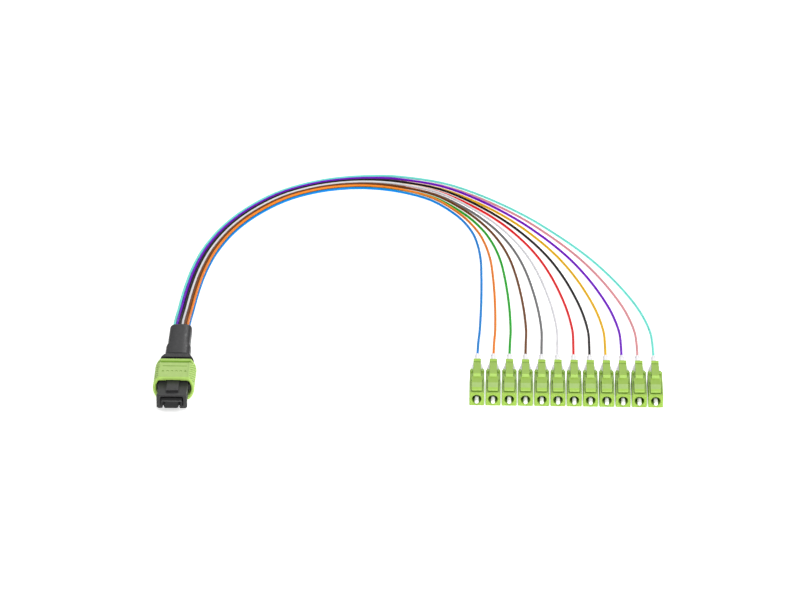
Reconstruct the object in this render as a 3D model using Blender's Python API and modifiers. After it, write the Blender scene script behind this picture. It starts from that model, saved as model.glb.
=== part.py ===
"""Fibre breakout cable: a twelve-fibre push-pull plug whose bare fibres fan out to twelve small latch plugs.

Metres, +Z up. The cable lies on the floor z = 0. The origin is the middle of the box round the connectors.
+X runs from the twelve-fibre plug towards the row of single plugs, and every plug faces -Y.
"""

import math

import bmesh
import bpy
from mathutils import Vector

MM = 0.001

# Whole layout
FIBRES = 12
CONNECTOR_SPAN = 155.5 * MM  # from the left side of the pull sleeve to the right side of the last plug
PLUG_LEAD = 1.4 * MM  # how far the single plugs' faces stand ahead of the sleeve's front
GLUE_GAP = 0.1 * MM  # between pieces that are fixed face to face

# Pull sleeve of the twelve-fibre plug
SLEEVE_WIDTH = 12.7 * MM
SLEEVE_HEIGHT = 7.8 * MM
SLEEVE_LENGTH = 11.5 * MM
SLEEVE_SIDE_RADIUS = 5.3 * MM
SLEEVE_WALL = 0.95 * MM
SLEEVE_TOP_WALL = 1.3 * MM
SLEEVE_TRAVEL = 2.2 * MM
SLIDE_CLEARANCE = 0.3 * MM
PANEL_DEPTH = 0.15 * MM
PANEL_WIDTH = 8.6 * MM
FRONT_RIM = 0.6 * MM
REAR_RIM = 1.7 * MM

# Inner housing and its key, inside the sleeve's bore
HOUSING_SIDE_GAP = 0.93 * MM
HOUSING_TOP_GAP = 0.45 * MM
HOUSING_SIDE_WALL = 1.12 * MM
HOUSING_TOP_WALL = 0.75 * MM
HOUSING_NOSE = 7.9 * MM  # reach ahead of the sleeve
HOUSING_CORNER = 0.45 * MM
FRAME_LENGTH = 1.3 * MM  # the raised frame round the nose's front
FRAME_STEP = 0.17 * MM
KEY_WIDTH = 3.8 * MM
KEY_HEIGHT = 0.6 * MM
KEY_SETBACK = 2.4 * MM
KEY_END = 1.0 * MM  # from the key's rear end to the housing's
RAIL_HEIGHT = 2.0 * MM
RAIL_START = 0.8 * MM
RAIL_LENGTH = 8.4 * MM

# Ferrule with two guide pins: the usual 6.4 by 2.5 mm with pins 4.6 mm apart follows from the walls round it
FERRULE_LENGTH = 8.0 * MM
FERRULE_REACH = 1.5 * MM  # ahead of the inner housing
FERRULE_TRAVEL = 0.8 * MM
FERRULE_CLEARANCE = 0.15 * MM
FLANGE_STEP = 0.3 * MM
FLANGE_LENGTH = 2.0 * MM
PIN_DIAMETER = 0.7 * MM
PIN_INSET = 0.9 * MM  # from the ferrule's side to the middle of a pin
PIN_REACH = 2.0 * MM
PIN_DEPTH = 5.5 * MM
PIN_CLEARANCE = 0.04 * MM
PIN_POINT = 0.25 * MM

# Rear body and boot
REAR_SIDE_GAP = 0.35 * MM  # to the sleeve's bore
REAR_TOP_GAP = 0.3 * MM
REAR_SIDE_TAPER = 1.8 * MM
REAR_TOP_TAPER = 0.2 * MM
REAR_INSIDE = 3.1 * MM  # how much of it stays inside the resting sleeve
REAR_COLLAR_GAP = 1.55 * MM  # from the pulled-back sleeve to the collar
REAR_COLLAR = 0.33 * MM  # how far the collar stands out on each side
REAR_TAPER_LENGTH = 1.85 * MM
REAR_NECK_LENGTH = 1.05 * MM
REAR_NECK_SIDE = 0.9 * MM  # how far the neck stands back from the taper's end
REAR_NECK_TOP = 0.35 * MM
BOOT_LENGTH = 17.85 * MM
BOOT_HEIGHT = 4.0 * MM
BOOT_CORNER = 1.5 * MM
BOOT_FLARE = 0.8 * MM
BOOT_FLARE_LENGTH = 7.7 * MM
BOOT_FLARE_PEAK = 4.95 * MM  # from the boot's front to where it begins to narrow
BOOT_FRONT_EDGE = 0.3 * MM
BOOT_LIP = 1.0 * MM
BOOT_WALL = 0.635 * MM
BOOT_MOUTH_DEPTH = 2.4 * MM
BOOT_MOUTH_ROOM = 0.18 * MM  # round the fibres

# Single plug
BODY_SIDE = 4.52 * MM
BODY_LENGTH = 14.2 * MM
BODY_CHAMFER = 0.3 * MM
PLUG_GAP = 0.43 * MM  # between neighbours in the row
LATCH_WIDTH = 3.2 * MM
LATCH_START = 1.1 * MM
LATCH_LENGTH = 6.1 * MM
LATCH_RISE = 1.75 * MM
ARM_THICKNESS = 0.75 * MM
ARM_ROOT = 0.4 * MM  # how deep the arm's root is sunk in the body
TAB_WIDTH = 2.35 * MM
TAB_LENGTH = 8.5 * MM
TAB_RISE = 3.18 * MM  # its highest edge above the body
TAB_OVERLAP = 0.4 * MM  # with the wide part of the arm
TAB_SLOPE = 0.7 * MM
TAB_LIP = 1.1 * MM
TAB_LIP_STEP = 0.35 * MM
EAR_WIDTH = 0.7 * MM
EAR_LENGTH = 1.7 * MM
EAR_HEIGHT = 0.45 * MM

# The latch arm from the side: shares of its length and of its rise
ARM_TOP = ((0.0, 0.12), (0.05, 0.29), (0.18, 0.44), (0.47, 0.82), (1.0, 1.0))
ARM_KNEE = (0.47, 0.3)
ARM_ROOT_END = 0.29
TAB_TOP = (0.78, 0.91, 0.87)  # the tab's height after its slope, before its lip and on the lip

# Ceramic ferrule of a single plug
TIP_DIAMETER = 1.25 * MM
TIP_REACH = 1.65 * MM
TIP_LENGTH = 6.4 * MM
TIP_CHAMFER = 0.15 * MM
TIP_FLANGE = 2.3 * MM
TIP_FLANGE_LENGTH = 1.6 * MM
TIP_TRAVEL = 0.6 * MM

# Boot of a single plug
TAIL_STEP = 0.21 * MM  # from the plug body's side in to the boot's base
TAIL_CONE_START = 3.3 * MM
TAIL_CONE_LENGTH = 5.2 * MM
TAIL_BULGE = 0.12 * MM  # how far the cone swells halfway
TAIL_LENGTH = 11.95 * MM
TAIL_WALL = 0.25 * MM
TAIL_ROUNDING = 0.2 * MM
TAIL_FIBRE_GAP = 0.25 * MM
TAIL_BORE_DEPTH = 1.6 * MM

# Fibres
FIBRE_DIAMETER = 0.8 * MM
FIBRE_AIR = 0.03 * MM
FIBRE_END_GAP = 0.3 * MM
LAYER_REACH = 2.0  # spacing, in fibre diameters, at which the upper layer has come down to the floor
POINTS_PER_SPAN = 2

# How the shapes are made
TURN_STEPS = 12
SIDE_STEPS = 8  # along one bowed side of the sleeve
END_STEPS = 6  # along one round end of the boot's mouth
CORNER_STEPS = 3  # round one corner of the boot
SMOOTH_ANGLE = 35
CHAMFER_ANGLE = 40
CUT_PAST = 1.0 * MM  # how far a cutter runs past the face that it opens
MERGE_DISTANCE = 0.01 * MM
ANCHOR_SIZE = 5.0 * MM

# The bundle's own line over the floor: x, y, height above its resting height, and how far the fibres
# spread, as times their tightest spacing
BUNDLE_ROUTE = (
    (-71.4, 26.5, 2.9, 1.0),
    (-71.4, 33.0, 1.5, 1.0),
    (-71.1, 41.0, 0.3, 1.0),
    (-70.2, 53.8, 0.0, 1.0),
    (-68.6, 66.8, 0.0, 1.0),
    (-65.8, 80.1, 0.0, 1.0),
    (-61.0, 93.6, 0.0, 1.0),
    (-54.1, 105.9, 0.0, 1.05),
    (-45.05, 116.55, 0.0, 1.14),
    (-35.3, 123.15, 0.0, 1.25),
    (-25.5, 126.7, 0.0, 1.41),
    (-15.6, 127.85, 0.0, 1.64),
)

# The fan: x, y of the inner fibre, x, y of the outer one, and the height above the floor rest
FAN_ROUTE = (
    (-5.4, 121.9, -5.8, 131.5, 0.0),
    (5.2, 116.1, 9.0, 127.4, 0.0),
    (13.85, 105.5, 22.3, 118.9, 0.0),
    (18.45, 95.5, 35.7, 106.5, 0.0),
    (20.5, 86.5, 47.0, 92.5, 0.0),
    (21.6, 76.5, 55.6, 80.0, 0.0),
    (21.9, 66.0, 62.3, 68.0, 0.0),
    (22.0, 54.0, 67.8, 56.0, 0.0),
    (21.9, 42.0, 72.1, 44.0, 0.1),
    (21.65, 30.0, 74.8, 31.0, 0.7),
    (21.25, 20.5, 75.4, 20.5, 1.65),
)

# Name, colour of each fibre, in order from the inside of the arc
FIBRE_COLOURS = (
    ("blue", (0.02, 0.25, 0.75)),
    ("orange", (0.90, 0.27, 0.04)),
    ("green", (0.03, 0.42, 0.06)),
    ("brown", (0.20, 0.07, 0.03)),
    ("slate", (0.20, 0.20, 0.21)),
    ("white", (0.80, 0.80, 0.82)),
    ("red", (0.75, 0.02, 0.02)),
    ("black", (0.01, 0.01, 0.01)),
    ("yellow", (0.85, 0.48, 0.01)),
    ("violet", (0.15, 0.01, 0.50)),
    ("rose", (0.80, 0.30, 0.32)),
    ("aqua", (0.15, 0.70, 0.62)),
)

# Worked out from the values above: the twelve-fibre plug, from its sleeve inwards
HOUSING_WIDTH = SLEEVE_WIDTH - 2 * (SLEEVE_WALL + HOUSING_SIDE_GAP)
HOUSING_HEIGHT = SLEEVE_HEIGHT - 2 * (SLEEVE_TOP_WALL + HOUSING_TOP_GAP)
FERRULE_WIDTH = HOUSING_WIDTH - 2 * (HOUSING_SIDE_WALL + FERRULE_CLEARANCE)
FERRULE_HEIGHT = HOUSING_HEIGHT - 2 * (HOUSING_TOP_WALL + FERRULE_CLEARANCE)
PIN_SPACING = FERRULE_WIDTH - 2 * PIN_INSET
REAR_WIDTH = SLEEVE_WIDTH - 2 * (SLEEVE_WALL + REAR_SIDE_GAP)
REAR_HEIGHT = SLEEVE_HEIGHT - 2 * (SLEEVE_TOP_WALL + REAR_TOP_GAP)
REAR_FRONT_Y = SLEEVE_LENGTH - REAR_INSIDE
COLLAR_Y = SLEEVE_LENGTH + SLEEVE_TRAVEL + REAR_COLLAR_GAP
NECK_Y = COLLAR_Y + REAR_TAPER_LENGTH
REAR_END_Y = NECK_Y + REAR_NECK_LENGTH
BOOT_FRONT_Y = REAR_END_Y + GLUE_GAP
BOOT_END_Y = BOOT_FRONT_Y + BOOT_LENGTH
NOSE_TO_PIN_TIP = HOUSING_NOSE + FERRULE_REACH + PIN_REACH
MULTI_ORIGIN = Vector(
    (
        (SLEEVE_WIDTH - CONNECTOR_SPAN) / 2,
        (NOSE_TO_PIN_TIP - BOOT_END_Y) / 2,
        SLEEVE_HEIGHT / 2,
    )
)

# The fibres in the boot's mouth
TIGHT_SLOT = (FIBRE_DIAMETER + FIBRE_AIR) / 2
MOUTH_WIDTH = (FIBRES - 1) * TIGHT_SLOT + FIBRE_DIAMETER + 2 * BOOT_MOUTH_ROOM
MOUTH_HEIGHT = 2 * (FIBRE_DIAMETER + BOOT_MOUTH_ROOM)
BOOT_WIDTH = MOUTH_WIDTH + 2 * BOOT_WALL

# The single plugs
PLUG_PITCH = BODY_SIDE + PLUG_GAP
LAST_PLUG_X = (CONNECTOR_SPAN - BODY_SIDE) / 2
FIRST_PLUG_X = LAST_PLUG_X - (FIBRES - 1) * PLUG_PITCH
PLUG_FACE_Y = MULTI_ORIGIN.y - PLUG_LEAD
PLUG_AXIS_Z = BODY_SIDE / 2
PLUG_BORE = TIP_FLANGE + 2 * SLIDE_CLEARANCE
PLUG_BORE_DEPTH = TIP_LENGTH + TIP_FLANGE_LENGTH - TIP_REACH + TIP_TRAVEL + SLIDE_CLEARANCE
TAIL_BASE = BODY_SIDE - 2 * TAIL_STEP
TAIL_BORE = FIBRE_DIAMETER + 2 * TAIL_FIBRE_GAP
TAIL_TUBE = TAIL_BORE + 2 * TAIL_WALL
TAIL_START_Y = BODY_LENGTH + GLUE_GAP
TAIL_END_Y = TAIL_START_Y + TAIL_LENGTH


def clear_scene():
    for item in list(bpy.data.objects):
        bpy.data.objects.remove(item, do_unlink=True)


def new_collection(name):
    group = bpy.data.collections.new(name)
    bpy.context.scene.collection.children.link(group)
    return group


def material(name, colour, roughness, metallic=0.0):
    finish = bpy.data.materials.new(name)
    finish.use_nodes = True
    shader = finish.node_tree.nodes["Principled BSDF"]
    shader.inputs["Base Color"].default_value = (*colour, 1.0)
    shader.inputs["Roughness"].default_value = roughness
    shader.inputs["Metallic"].default_value = metallic
    finish.diffuse_color = (*colour, 1.0)
    return finish


def mesh_object(name, shape, group):
    """A new object in the group from a bmesh, which is used up."""
    bmesh.ops.recalc_face_normals(shape, faces=shape.faces)
    data = bpy.data.meshes.new(name)
    shape.to_mesh(data)
    shape.free()
    item = bpy.data.objects.new(name, data)
    group.objects.link(item)
    return item


def box(name, group, low, high):
    shape = bmesh.new()
    bmesh.ops.create_cube(shape, size=1.0)
    for corner in shape.verts:
        for axis in range(3):
            side = low[axis] if corner.co[axis] < 0 else high[axis]
            corner.co[axis] = side
    return mesh_object(name, shape, group)


def prism(name, group, outline, direction):
    """A flat outline, a list of 3D points, pushed along a direction."""
    shape = bmesh.new()
    face = shape.faces.new([shape.verts.new(point) for point in outline])
    pushed = bmesh.ops.extrude_face_region(shape, geom=[face])
    moved = [item for item in pushed["geom"] if isinstance(item, bmesh.types.BMVert)]
    bmesh.ops.translate(shape, verts=moved, vec=direction)
    return mesh_object(name, shape, group)


def loft(name, group, rings):
    """A closed skin through rings with the same number of points, capped at both ends."""
    shape = bmesh.new()
    loops = [[shape.verts.new(point) for point in ring] for ring in rings]
    count = len(loops[0])
    for near, far in zip(loops, loops[1:]):
        for i in range(count):
            j = (i + 1) % count
            shape.faces.new((near[i], near[j], far[j], far[i]))
    shape.faces.new(loops[0])
    shape.faces.new(loops[-1])
    return mesh_object(name, shape, group)


def turned(name, group, profile, steps=TURN_STEPS):
    """A profile of (radius, y) points, listed front to back, turned about the Y axis."""
    shape = bmesh.new()
    ring = [shape.verts.new((radius, y, 0.0)) for radius, y in reversed(profile)]
    for first, second in zip(ring, ring[1:]):
        shape.edges.new((first, second))
    data = bpy.data.meshes.new(name)
    shape.to_mesh(data)
    shape.free()
    item = bpy.data.objects.new(name, data)
    group.objects.link(item)
    screw = item.modifiers.new("turn", "SCREW")
    screw.axis = "Y"
    screw.steps = steps
    screw.render_steps = steps
    screw.use_merge_vertices = True
    screw.merge_threshold = MERGE_DISTANCE
    return item


def combine(item, other, operation):
    step = item.modifiers.new(other.name, "BOOLEAN")
    step.operation = operation
    step.object = other
    step.solver = "EXACT"


def as_cutter(item):
    item.hide_render = True
    item.display_type = "WIRE"
    return item


def chamfer(item, width, segments=1):
    step = item.modifiers.new("edges", "BEVEL")
    step.width = width
    step.segments = segments
    step.limit_method = "ANGLE"
    step.angle_limit = math.radians(CHAMFER_ANGLE)


def finished_mesh(item, name):
    """The object's mesh with its modifiers applied. The object is removed."""
    graph = bpy.context.evaluated_depsgraph_get()
    data = bpy.data.meshes.new_from_object(item.evaluated_get(graph))
    data.name = name
    bpy.data.objects.remove(item, do_unlink=True)
    return data


def place(name, data, group, finish, parent):
    item = bpy.data.objects.new(name, data)
    group.objects.link(item)
    item.parent = parent
    if not data.materials:
        data.materials.append(finish)
    return item


def anchor(name, group, spot):
    empty = bpy.data.objects.new(name, None)
    empty.empty_display_size = ANCHOR_SIZE
    empty.location = spot
    group.objects.link(empty)
    return empty


def smooth(data):
    data.shade_smooth()
    data.set_sharp_from_angle(angle=math.radians(SMOOTH_ANGLE))


def sleeve_outline(width, height, radius, y, steps=SIDE_STEPS):
    """A flat-topped outline with bowed sides, in the plane across the plug's axis."""
    centre = width / 2 - radius
    reach = math.asin(height / 2 / radius)
    turn = [reach * (2 * i / steps - 1) for i in range(steps + 1)]
    right = [(centre + radius * math.cos(t), y, radius * math.sin(t)) for t in turn]
    left = [(-x, y, -z) for x, y, z in right]
    return right + left


def oval_outline(width, height, y, steps=END_STEPS):
    """A slot shape: two half circles joined by straight sides."""
    radius = height / 2
    centre = width / 2 - radius
    turn = [math.pi * (i / steps - 0.5) for i in range(steps + 1)]
    right = [(centre + radius * math.cos(t), y, radius * math.sin(t)) for t in turn]
    left = [(-x, y, -z) for x, y, z in right]
    return right + left


def rounded_outline(width, height, corner, y, steps=CORNER_STEPS):
    """A rectangle with rounded corners."""
    points = []
    for start, (i, j) in enumerate(((1, -1), (1, 1), (-1, 1), (-1, -1)), -1):
        x, z = i * (width / 2 - corner), j * (height / 2 - corner)
        for step in range(steps + 1):
            turn = math.pi / 2 * (start + step / steps)
            points.append((x + corner * math.cos(turn), y, z + corner * math.sin(turn)))
    return points


def box_outline(width, height, y):
    return [
        (width / 2 * i, y, height / 2 * j)
        for i, j in ((1, -1), (1, 1), (-1, 1), (-1, -1))
    ]


def add_coupling_sleeve(group, tools, parent):
    along = Vector((0, SLEEVE_LENGTH, 0))
    outer = sleeve_outline(SLEEVE_WIDTH, SLEEVE_HEIGHT, SLEEVE_SIDE_RADIUS, 0.0)
    sleeve = prism("sleeve_shape", tools, outer, along)
    bore = as_cutter(
        prism(
            "sleeve_bore",
            tools,
            sleeve_outline(
                SLEEVE_WIDTH - 2 * SLEEVE_WALL,
                SLEEVE_HEIGHT - 2 * SLEEVE_TOP_WALL,
                SLEEVE_SIDE_RADIUS - SLEEVE_WALL,
                -CUT_PAST,
            ),
            along + Vector((0, 2 * CUT_PAST, 0)),
        )
    )
    key_top = HOUSING_HEIGHT / 2 + KEY_HEIGHT + SLIDE_CLEARANCE
    key_side = KEY_WIDTH / 2 + SLIDE_CLEARANCE
    keyway = as_cutter(
        box(
            "sleeve_keyway",
            tools,
            (-key_side, -CUT_PAST, 0),
            (key_side, SLEEVE_LENGTH + CUT_PAST, key_top),
        )
    )
    combine(sleeve, bore, "DIFFERENCE")
    combine(sleeve, keyway, "DIFFERENCE")
    for side in (-1, 1):
        low, high = sorted(
            side * (SLEEVE_HEIGHT / 2 + step) for step in (-PANEL_DEPTH, CUT_PAST)
        )
        panel = as_cutter(
            box(
                "sleeve_panel",
                tools,
                (-PANEL_WIDTH / 2, FRONT_RIM, low),
                (PANEL_WIDTH / 2, SLEEVE_LENGTH - REAR_RIM, high),
            )
        )
        combine(sleeve, panel, "DIFFERENCE")
    data = finished_mesh(sleeve, "mpo_coupling_sleeve")
    smooth(data)
    green = material("sleeve green", (0.36, 0.60, 0.12), 0.45)
    return place("mpo_coupling_sleeve", data, group, green, parent)


def nose_outline(side, top, y):
    """The nose's section, with its lower corners cut off."""
    corner = HOUSING_CORNER
    return [
        (side, y, top),
        (-side, y, top),
        (-side, y, corner - top),
        (corner - side, y, -top),
        (side - corner, y, -top),
        (side, y, corner - top),
    ]


def add_inner_housing(group, tools, parent):
    rear = REAR_FRONT_Y - GLUE_GAP
    side, top = HOUSING_WIDTH / 2, HOUSING_HEIGHT / 2
    frame_end = FRAME_LENGTH - HOUSING_NOSE
    stations = (
        (-HOUSING_NOSE, FRAME_STEP),
        (frame_end, FRAME_STEP),
        (frame_end, 0.0),
        (rear, 0.0),
    )
    rings = [nose_outline(side + step, top + step / 2, y) for y, step in stations]
    housing = loft("housing_shape", tools, rings)
    key = as_cutter(
        box(
            "housing_key",
            tools,
            (-KEY_WIDTH / 2, KEY_SETBACK - HOUSING_NOSE, 0),
            (KEY_WIDTH / 2, rear - KEY_END, top + KEY_HEIGHT),
        )
    )
    rail_side = SLEEVE_WIDTH / 2 - SLEEVE_WALL - SLIDE_CLEARANCE
    rails = as_cutter(
        box(
            "housing_rails",
            tools,
            (-rail_side, RAIL_START, -RAIL_HEIGHT / 2),
            (rail_side, min(RAIL_START + RAIL_LENGTH, rear), RAIL_HEIGHT / 2),
        )
    )
    combine(housing, rails, "UNION")
    combine(housing, key, "UNION")
    gap = FERRULE_CLEARANCE
    flange_front = -HOUSING_NOSE - FERRULE_REACH + FERRULE_LENGTH - FLANGE_LENGTH
    mouth = as_cutter(
        box(
            "housing_mouth",
            tools,
            (
                -FERRULE_WIDTH / 2 - gap,
                -HOUSING_NOSE - CUT_PAST,
                -FERRULE_HEIGHT / 2 - gap,
            ),
            (FERRULE_WIDTH / 2 + gap, flange_front, FERRULE_HEIGHT / 2 + gap),
        )
    )
    wide = FERRULE_WIDTH / 2 + FLANGE_STEP + gap
    high = FERRULE_HEIGHT / 2 + FLANGE_STEP + gap
    cavity = as_cutter(
        box(
            "housing_cavity",
            tools,
            (-wide, flange_front - gap, -high),
            (
                wide,
                flange_front + FLANGE_LENGTH + FERRULE_TRAVEL + SLIDE_CLEARANCE,
                high,
            ),
        )
    )
    combine(housing, mouth, "DIFFERENCE")
    combine(housing, cavity, "DIFFERENCE")
    data = finished_mesh(housing, "mpo_inner_housing")
    black = material("housing black", (0.035, 0.035, 0.037), 0.5)
    return place("mpo_inner_housing", data, group, black, parent)


def add_multi_ferrule(group, tools, parent):
    front = -HOUSING_NOSE - FERRULE_REACH
    back = front + FERRULE_LENGTH
    stations = (
        (front, 0.0),
        (back - FLANGE_LENGTH, 0.0),
        (back - FLANGE_LENGTH, FLANGE_STEP),
        (back, FLANGE_STEP),
    )
    rings = [
        box_outline(FERRULE_WIDTH + 2 * grow, FERRULE_HEIGHT + 2 * grow, y)
        for y, grow in stations
    ]
    ferrule = loft("ferrule_shape", tools, rings)
    for side in (-1, 1):
        hole = as_cutter(
            round_bar(
                "pin_hole",
                tools,
                PIN_DIAMETER / 2 + PIN_CLEARANCE,
                front - CUT_PAST,
                front + PIN_DEPTH + SLIDE_CLEARANCE,
                side * PIN_SPACING / 2,
            )
        )
        combine(ferrule, hole, "DIFFERENCE")
    data = finished_mesh(ferrule, "mpo_ferrule")
    resin = material("ferrule resin", (0.03, 0.03, 0.032), 0.35)
    return place("mpo_ferrule", data, group, resin, parent)


def round_bar(name, group, radius, start, end, x):
    """A straight round bar along Y at the given x."""
    shape = bmesh.new()
    bmesh.ops.create_cone(
        shape,
        cap_ends=True,
        segments=TURN_STEPS,
        radius1=radius,
        radius2=radius,
        depth=end - start,
    )
    for corner in shape.verts:
        across, up, along = corner.co
        corner.co = (x + across, (start + end) / 2 + along, up)
    return mesh_object(name, shape, group)


def add_guide_pins(group, tools, parent):
    steel = material("pin steel", (0.75, 0.75, 0.76), 0.2, 1.0)
    front = -HOUSING_NOSE - FERRULE_REACH - PIN_REACH
    back = -HOUSING_NOSE - FERRULE_REACH + PIN_DEPTH
    radius = PIN_DIAMETER / 2
    for side, name in ((-1, "guide_pin_left"), (1, "guide_pin_right")):
        profile = (
            (0.0, front),
            (radius - PIN_POINT, front),
            (radius, front + PIN_POINT),
            (radius, back),
            (0.0, back),
        )
        data = finished_mesh(turned("pin_shape", tools, profile), name)
        smooth(data)
        pin = place(name, data, group, steel, parent)
        pin.location.x = side * PIN_SPACING / 2


def add_rear_body(group, tools, parent):
    """It runs into the sleeve. Its collar, taper and neck stand behind the sleeve's travel."""
    collar_width = REAR_WIDTH + 2 * REAR_COLLAR
    taper_width = collar_width - REAR_SIDE_TAPER
    taper_height = REAR_HEIGHT - REAR_TOP_TAPER
    neck_width = taper_width - 2 * REAR_NECK_SIDE
    neck_height = taper_height - 2 * REAR_NECK_TOP
    stations = (
        (REAR_FRONT_Y, REAR_WIDTH, REAR_HEIGHT),
        (COLLAR_Y, REAR_WIDTH, REAR_HEIGHT),
        (COLLAR_Y, collar_width, REAR_HEIGHT),
        (NECK_Y, taper_width, taper_height),
        (NECK_Y, neck_width, neck_height),
        (REAR_END_Y, neck_width, neck_height),
    )
    rings = [
        sleeve_outline(width, height, SLEEVE_SIDE_RADIUS - SLEEVE_WALL, y, SIDE_STEPS // 2)
        for y, width, height in stations
    ]
    data = finished_mesh(loft("rear_shape", tools, rings), "mpo_rear_body")
    black = material("rear body black", (0.03, 0.03, 0.032), 0.45)
    return place("mpo_rear_body", data, group, black, parent)


def add_multi_boot(group, tools, parent):
    edge = BOOT_FRONT_EDGE
    stations = (
        (BOOT_FRONT_Y, BOOT_FLARE - edge, -edge),
        (BOOT_FRONT_Y + edge, BOOT_FLARE, 0.0),
        (BOOT_FRONT_Y + BOOT_FLARE_PEAK, BOOT_FLARE, 0.0),
        (BOOT_FRONT_Y + BOOT_FLARE_LENGTH, 0.0, 0.0),
        (BOOT_END_Y - BOOT_LIP, 0.0, 0.0),
        (BOOT_END_Y, -BOOT_LIP / 2, -BOOT_LIP / 2),
    )
    rings = [
        rounded_outline(BOOT_WIDTH + wider, BOOT_HEIGHT + higher, BOOT_CORNER, y)
        for y, wider, higher in stations
    ]
    boot = loft("boot_shape", tools, rings)
    mouth = as_cutter(
        prism(
            "boot_mouth",
            tools,
            oval_outline(MOUTH_WIDTH, MOUTH_HEIGHT, BOOT_END_Y - BOOT_MOUTH_DEPTH),
            Vector((0, BOOT_MOUTH_DEPTH + CUT_PAST, 0)),
        )
    )
    combine(boot, mouth, "DIFFERENCE")
    data = finished_mesh(boot, "mpo_boot")
    smooth(data)
    rubber = material("boot black", (0.04, 0.04, 0.042), 0.6)
    return place("mpo_boot", data, group, rubber, parent)


def latch_outline(x):
    """Side view of the wide part of the latch arm, from its root at the front of the body."""
    top = BODY_SIDE / 2
    upper = [
        (x, LATCH_START + along * LATCH_LENGTH, top + up * LATCH_RISE)
        for along, up in ARM_TOP
    ]
    end = LATCH_START + LATCH_LENGTH
    knee = LATCH_START + ARM_KNEE[0] * LATCH_LENGTH
    root_end = LATCH_START + ARM_ROOT_END * LATCH_LENGTH
    return [
        (x, LATCH_START, top - ARM_ROOT),
        *upper,
        (x, end, top + LATCH_RISE - ARM_THICKNESS),
        (x, knee, top + ARM_KNEE[1] * LATCH_RISE),
        (x, root_end, top - ARM_ROOT),
    ]


def tab_outline(x):
    """Side view of the narrow thumb tab that continues the arm."""
    top = BODY_SIDE / 2
    start = LATCH_START + LATCH_LENGTH - TAB_OVERLAP
    end = start + TAB_LENGTH
    slope_end, lip_foot, lip = (top + share * TAB_RISE for share in TAB_TOP)
    under = top + LATCH_RISE - ARM_THICKNESS
    return [
        (x, start, top + LATCH_RISE - TAB_OVERLAP / 2),
        (x, start + TAB_SLOPE, slope_end),
        (x, end - TAB_LIP - TAB_LIP_STEP, lip_foot),
        (x, end - TAB_LIP, lip),
        (x, end, top + TAB_RISE),
        (x, end, top + TAB_RISE - ARM_THICKNESS),
        (x, start + TAB_SLOPE, under),
        (x, start, under),
    ]


def plug_housing_mesh(tools):
    half = BODY_SIDE / 2
    body = box("plug_body", tools, (-half, 0, -half), (half, BODY_LENGTH, half))
    chamfer(body, BODY_CHAMFER)
    arm = as_cutter(
        prism(
            "latch_arm",
            tools,
            latch_outline(-LATCH_WIDTH / 2),
            Vector((LATCH_WIDTH, 0, 0)),
        )
    )
    tab = as_cutter(
        prism(
            "latch_tab", tools, tab_outline(-TAB_WIDTH / 2), Vector((TAB_WIDTH, 0, 0))
        )
    )
    combine(body, arm, "UNION")
    combine(body, tab, "UNION")
    for side in (-1, 1):
        outer = side * (half - BODY_CHAMFER)
        inner = outer - side * EAR_WIDTH
        ear = as_cutter(
            box(
                "plug_ear",
                tools,
                (min(outer, inner), BODY_LENGTH - BODY_CHAMFER - EAR_LENGTH, 0),
                (max(outer, inner), BODY_LENGTH - BODY_CHAMFER, half + EAR_HEIGHT),
            )
        )
        combine(body, ear, "UNION")
    bore = as_cutter(
        round_bar(
            "plug_bore", tools, PLUG_BORE / 2, -CUT_PAST, PLUG_BORE_DEPTH, 0.0
        )
    )
    combine(body, bore, "DIFFERENCE")
    data = finished_mesh(body, "lc_housing")
    smooth(data)
    return data


def plug_ferrule_mesh(tools):
    radius = TIP_DIAMETER / 2
    tip = -TIP_REACH
    flange = tip + TIP_LENGTH
    profile = (
        (0.0, tip),
        (radius - TIP_CHAMFER, tip),
        (radius, tip + TIP_CHAMFER),
        (radius, flange),
        (TIP_FLANGE / 2, flange),
        (TIP_FLANGE / 2, flange + TIP_FLANGE_LENGTH),
        (0.0, flange + TIP_FLANGE_LENGTH),
    )
    data = finished_mesh(turned("tip_shape", tools, profile), "lc_ferrule")
    smooth(data)
    return data


def plug_boot_mesh(tools):
    tube = TAIL_TUBE / 2
    bend = TAIL_TUBE / 2 - TAIL_ROUNDING
    cone_start = TAIL_START_Y + TAIL_CONE_START
    turns = (0, math.pi / 4, math.pi / 2)
    rounded = [
        (
            bend + TAIL_ROUNDING * math.cos(turn),
            TAIL_END_Y - TAIL_ROUNDING * (1 - math.sin(turn)),
        )
        for turn in turns
    ]
    profile = (
        (0.0, TAIL_START_Y),
        (TAIL_BASE / 2, TAIL_START_Y),
        (TAIL_BASE / 2, cone_start),
        ((TAIL_BASE / 2 + tube) / 2 + TAIL_BULGE, cone_start + TAIL_CONE_LENGTH / 2),
        (tube, cone_start + TAIL_CONE_LENGTH),
        *rounded,
        (TAIL_BORE / 2, TAIL_END_Y),
        (TAIL_BORE / 2, TAIL_END_Y - TAIL_BORE_DEPTH),
        (0.0, TAIL_END_Y - TAIL_BORE_DEPTH),
    )
    data = finished_mesh(turned("tail_shape", tools, profile), "lc_boot")
    smooth(data)
    return data


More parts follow.
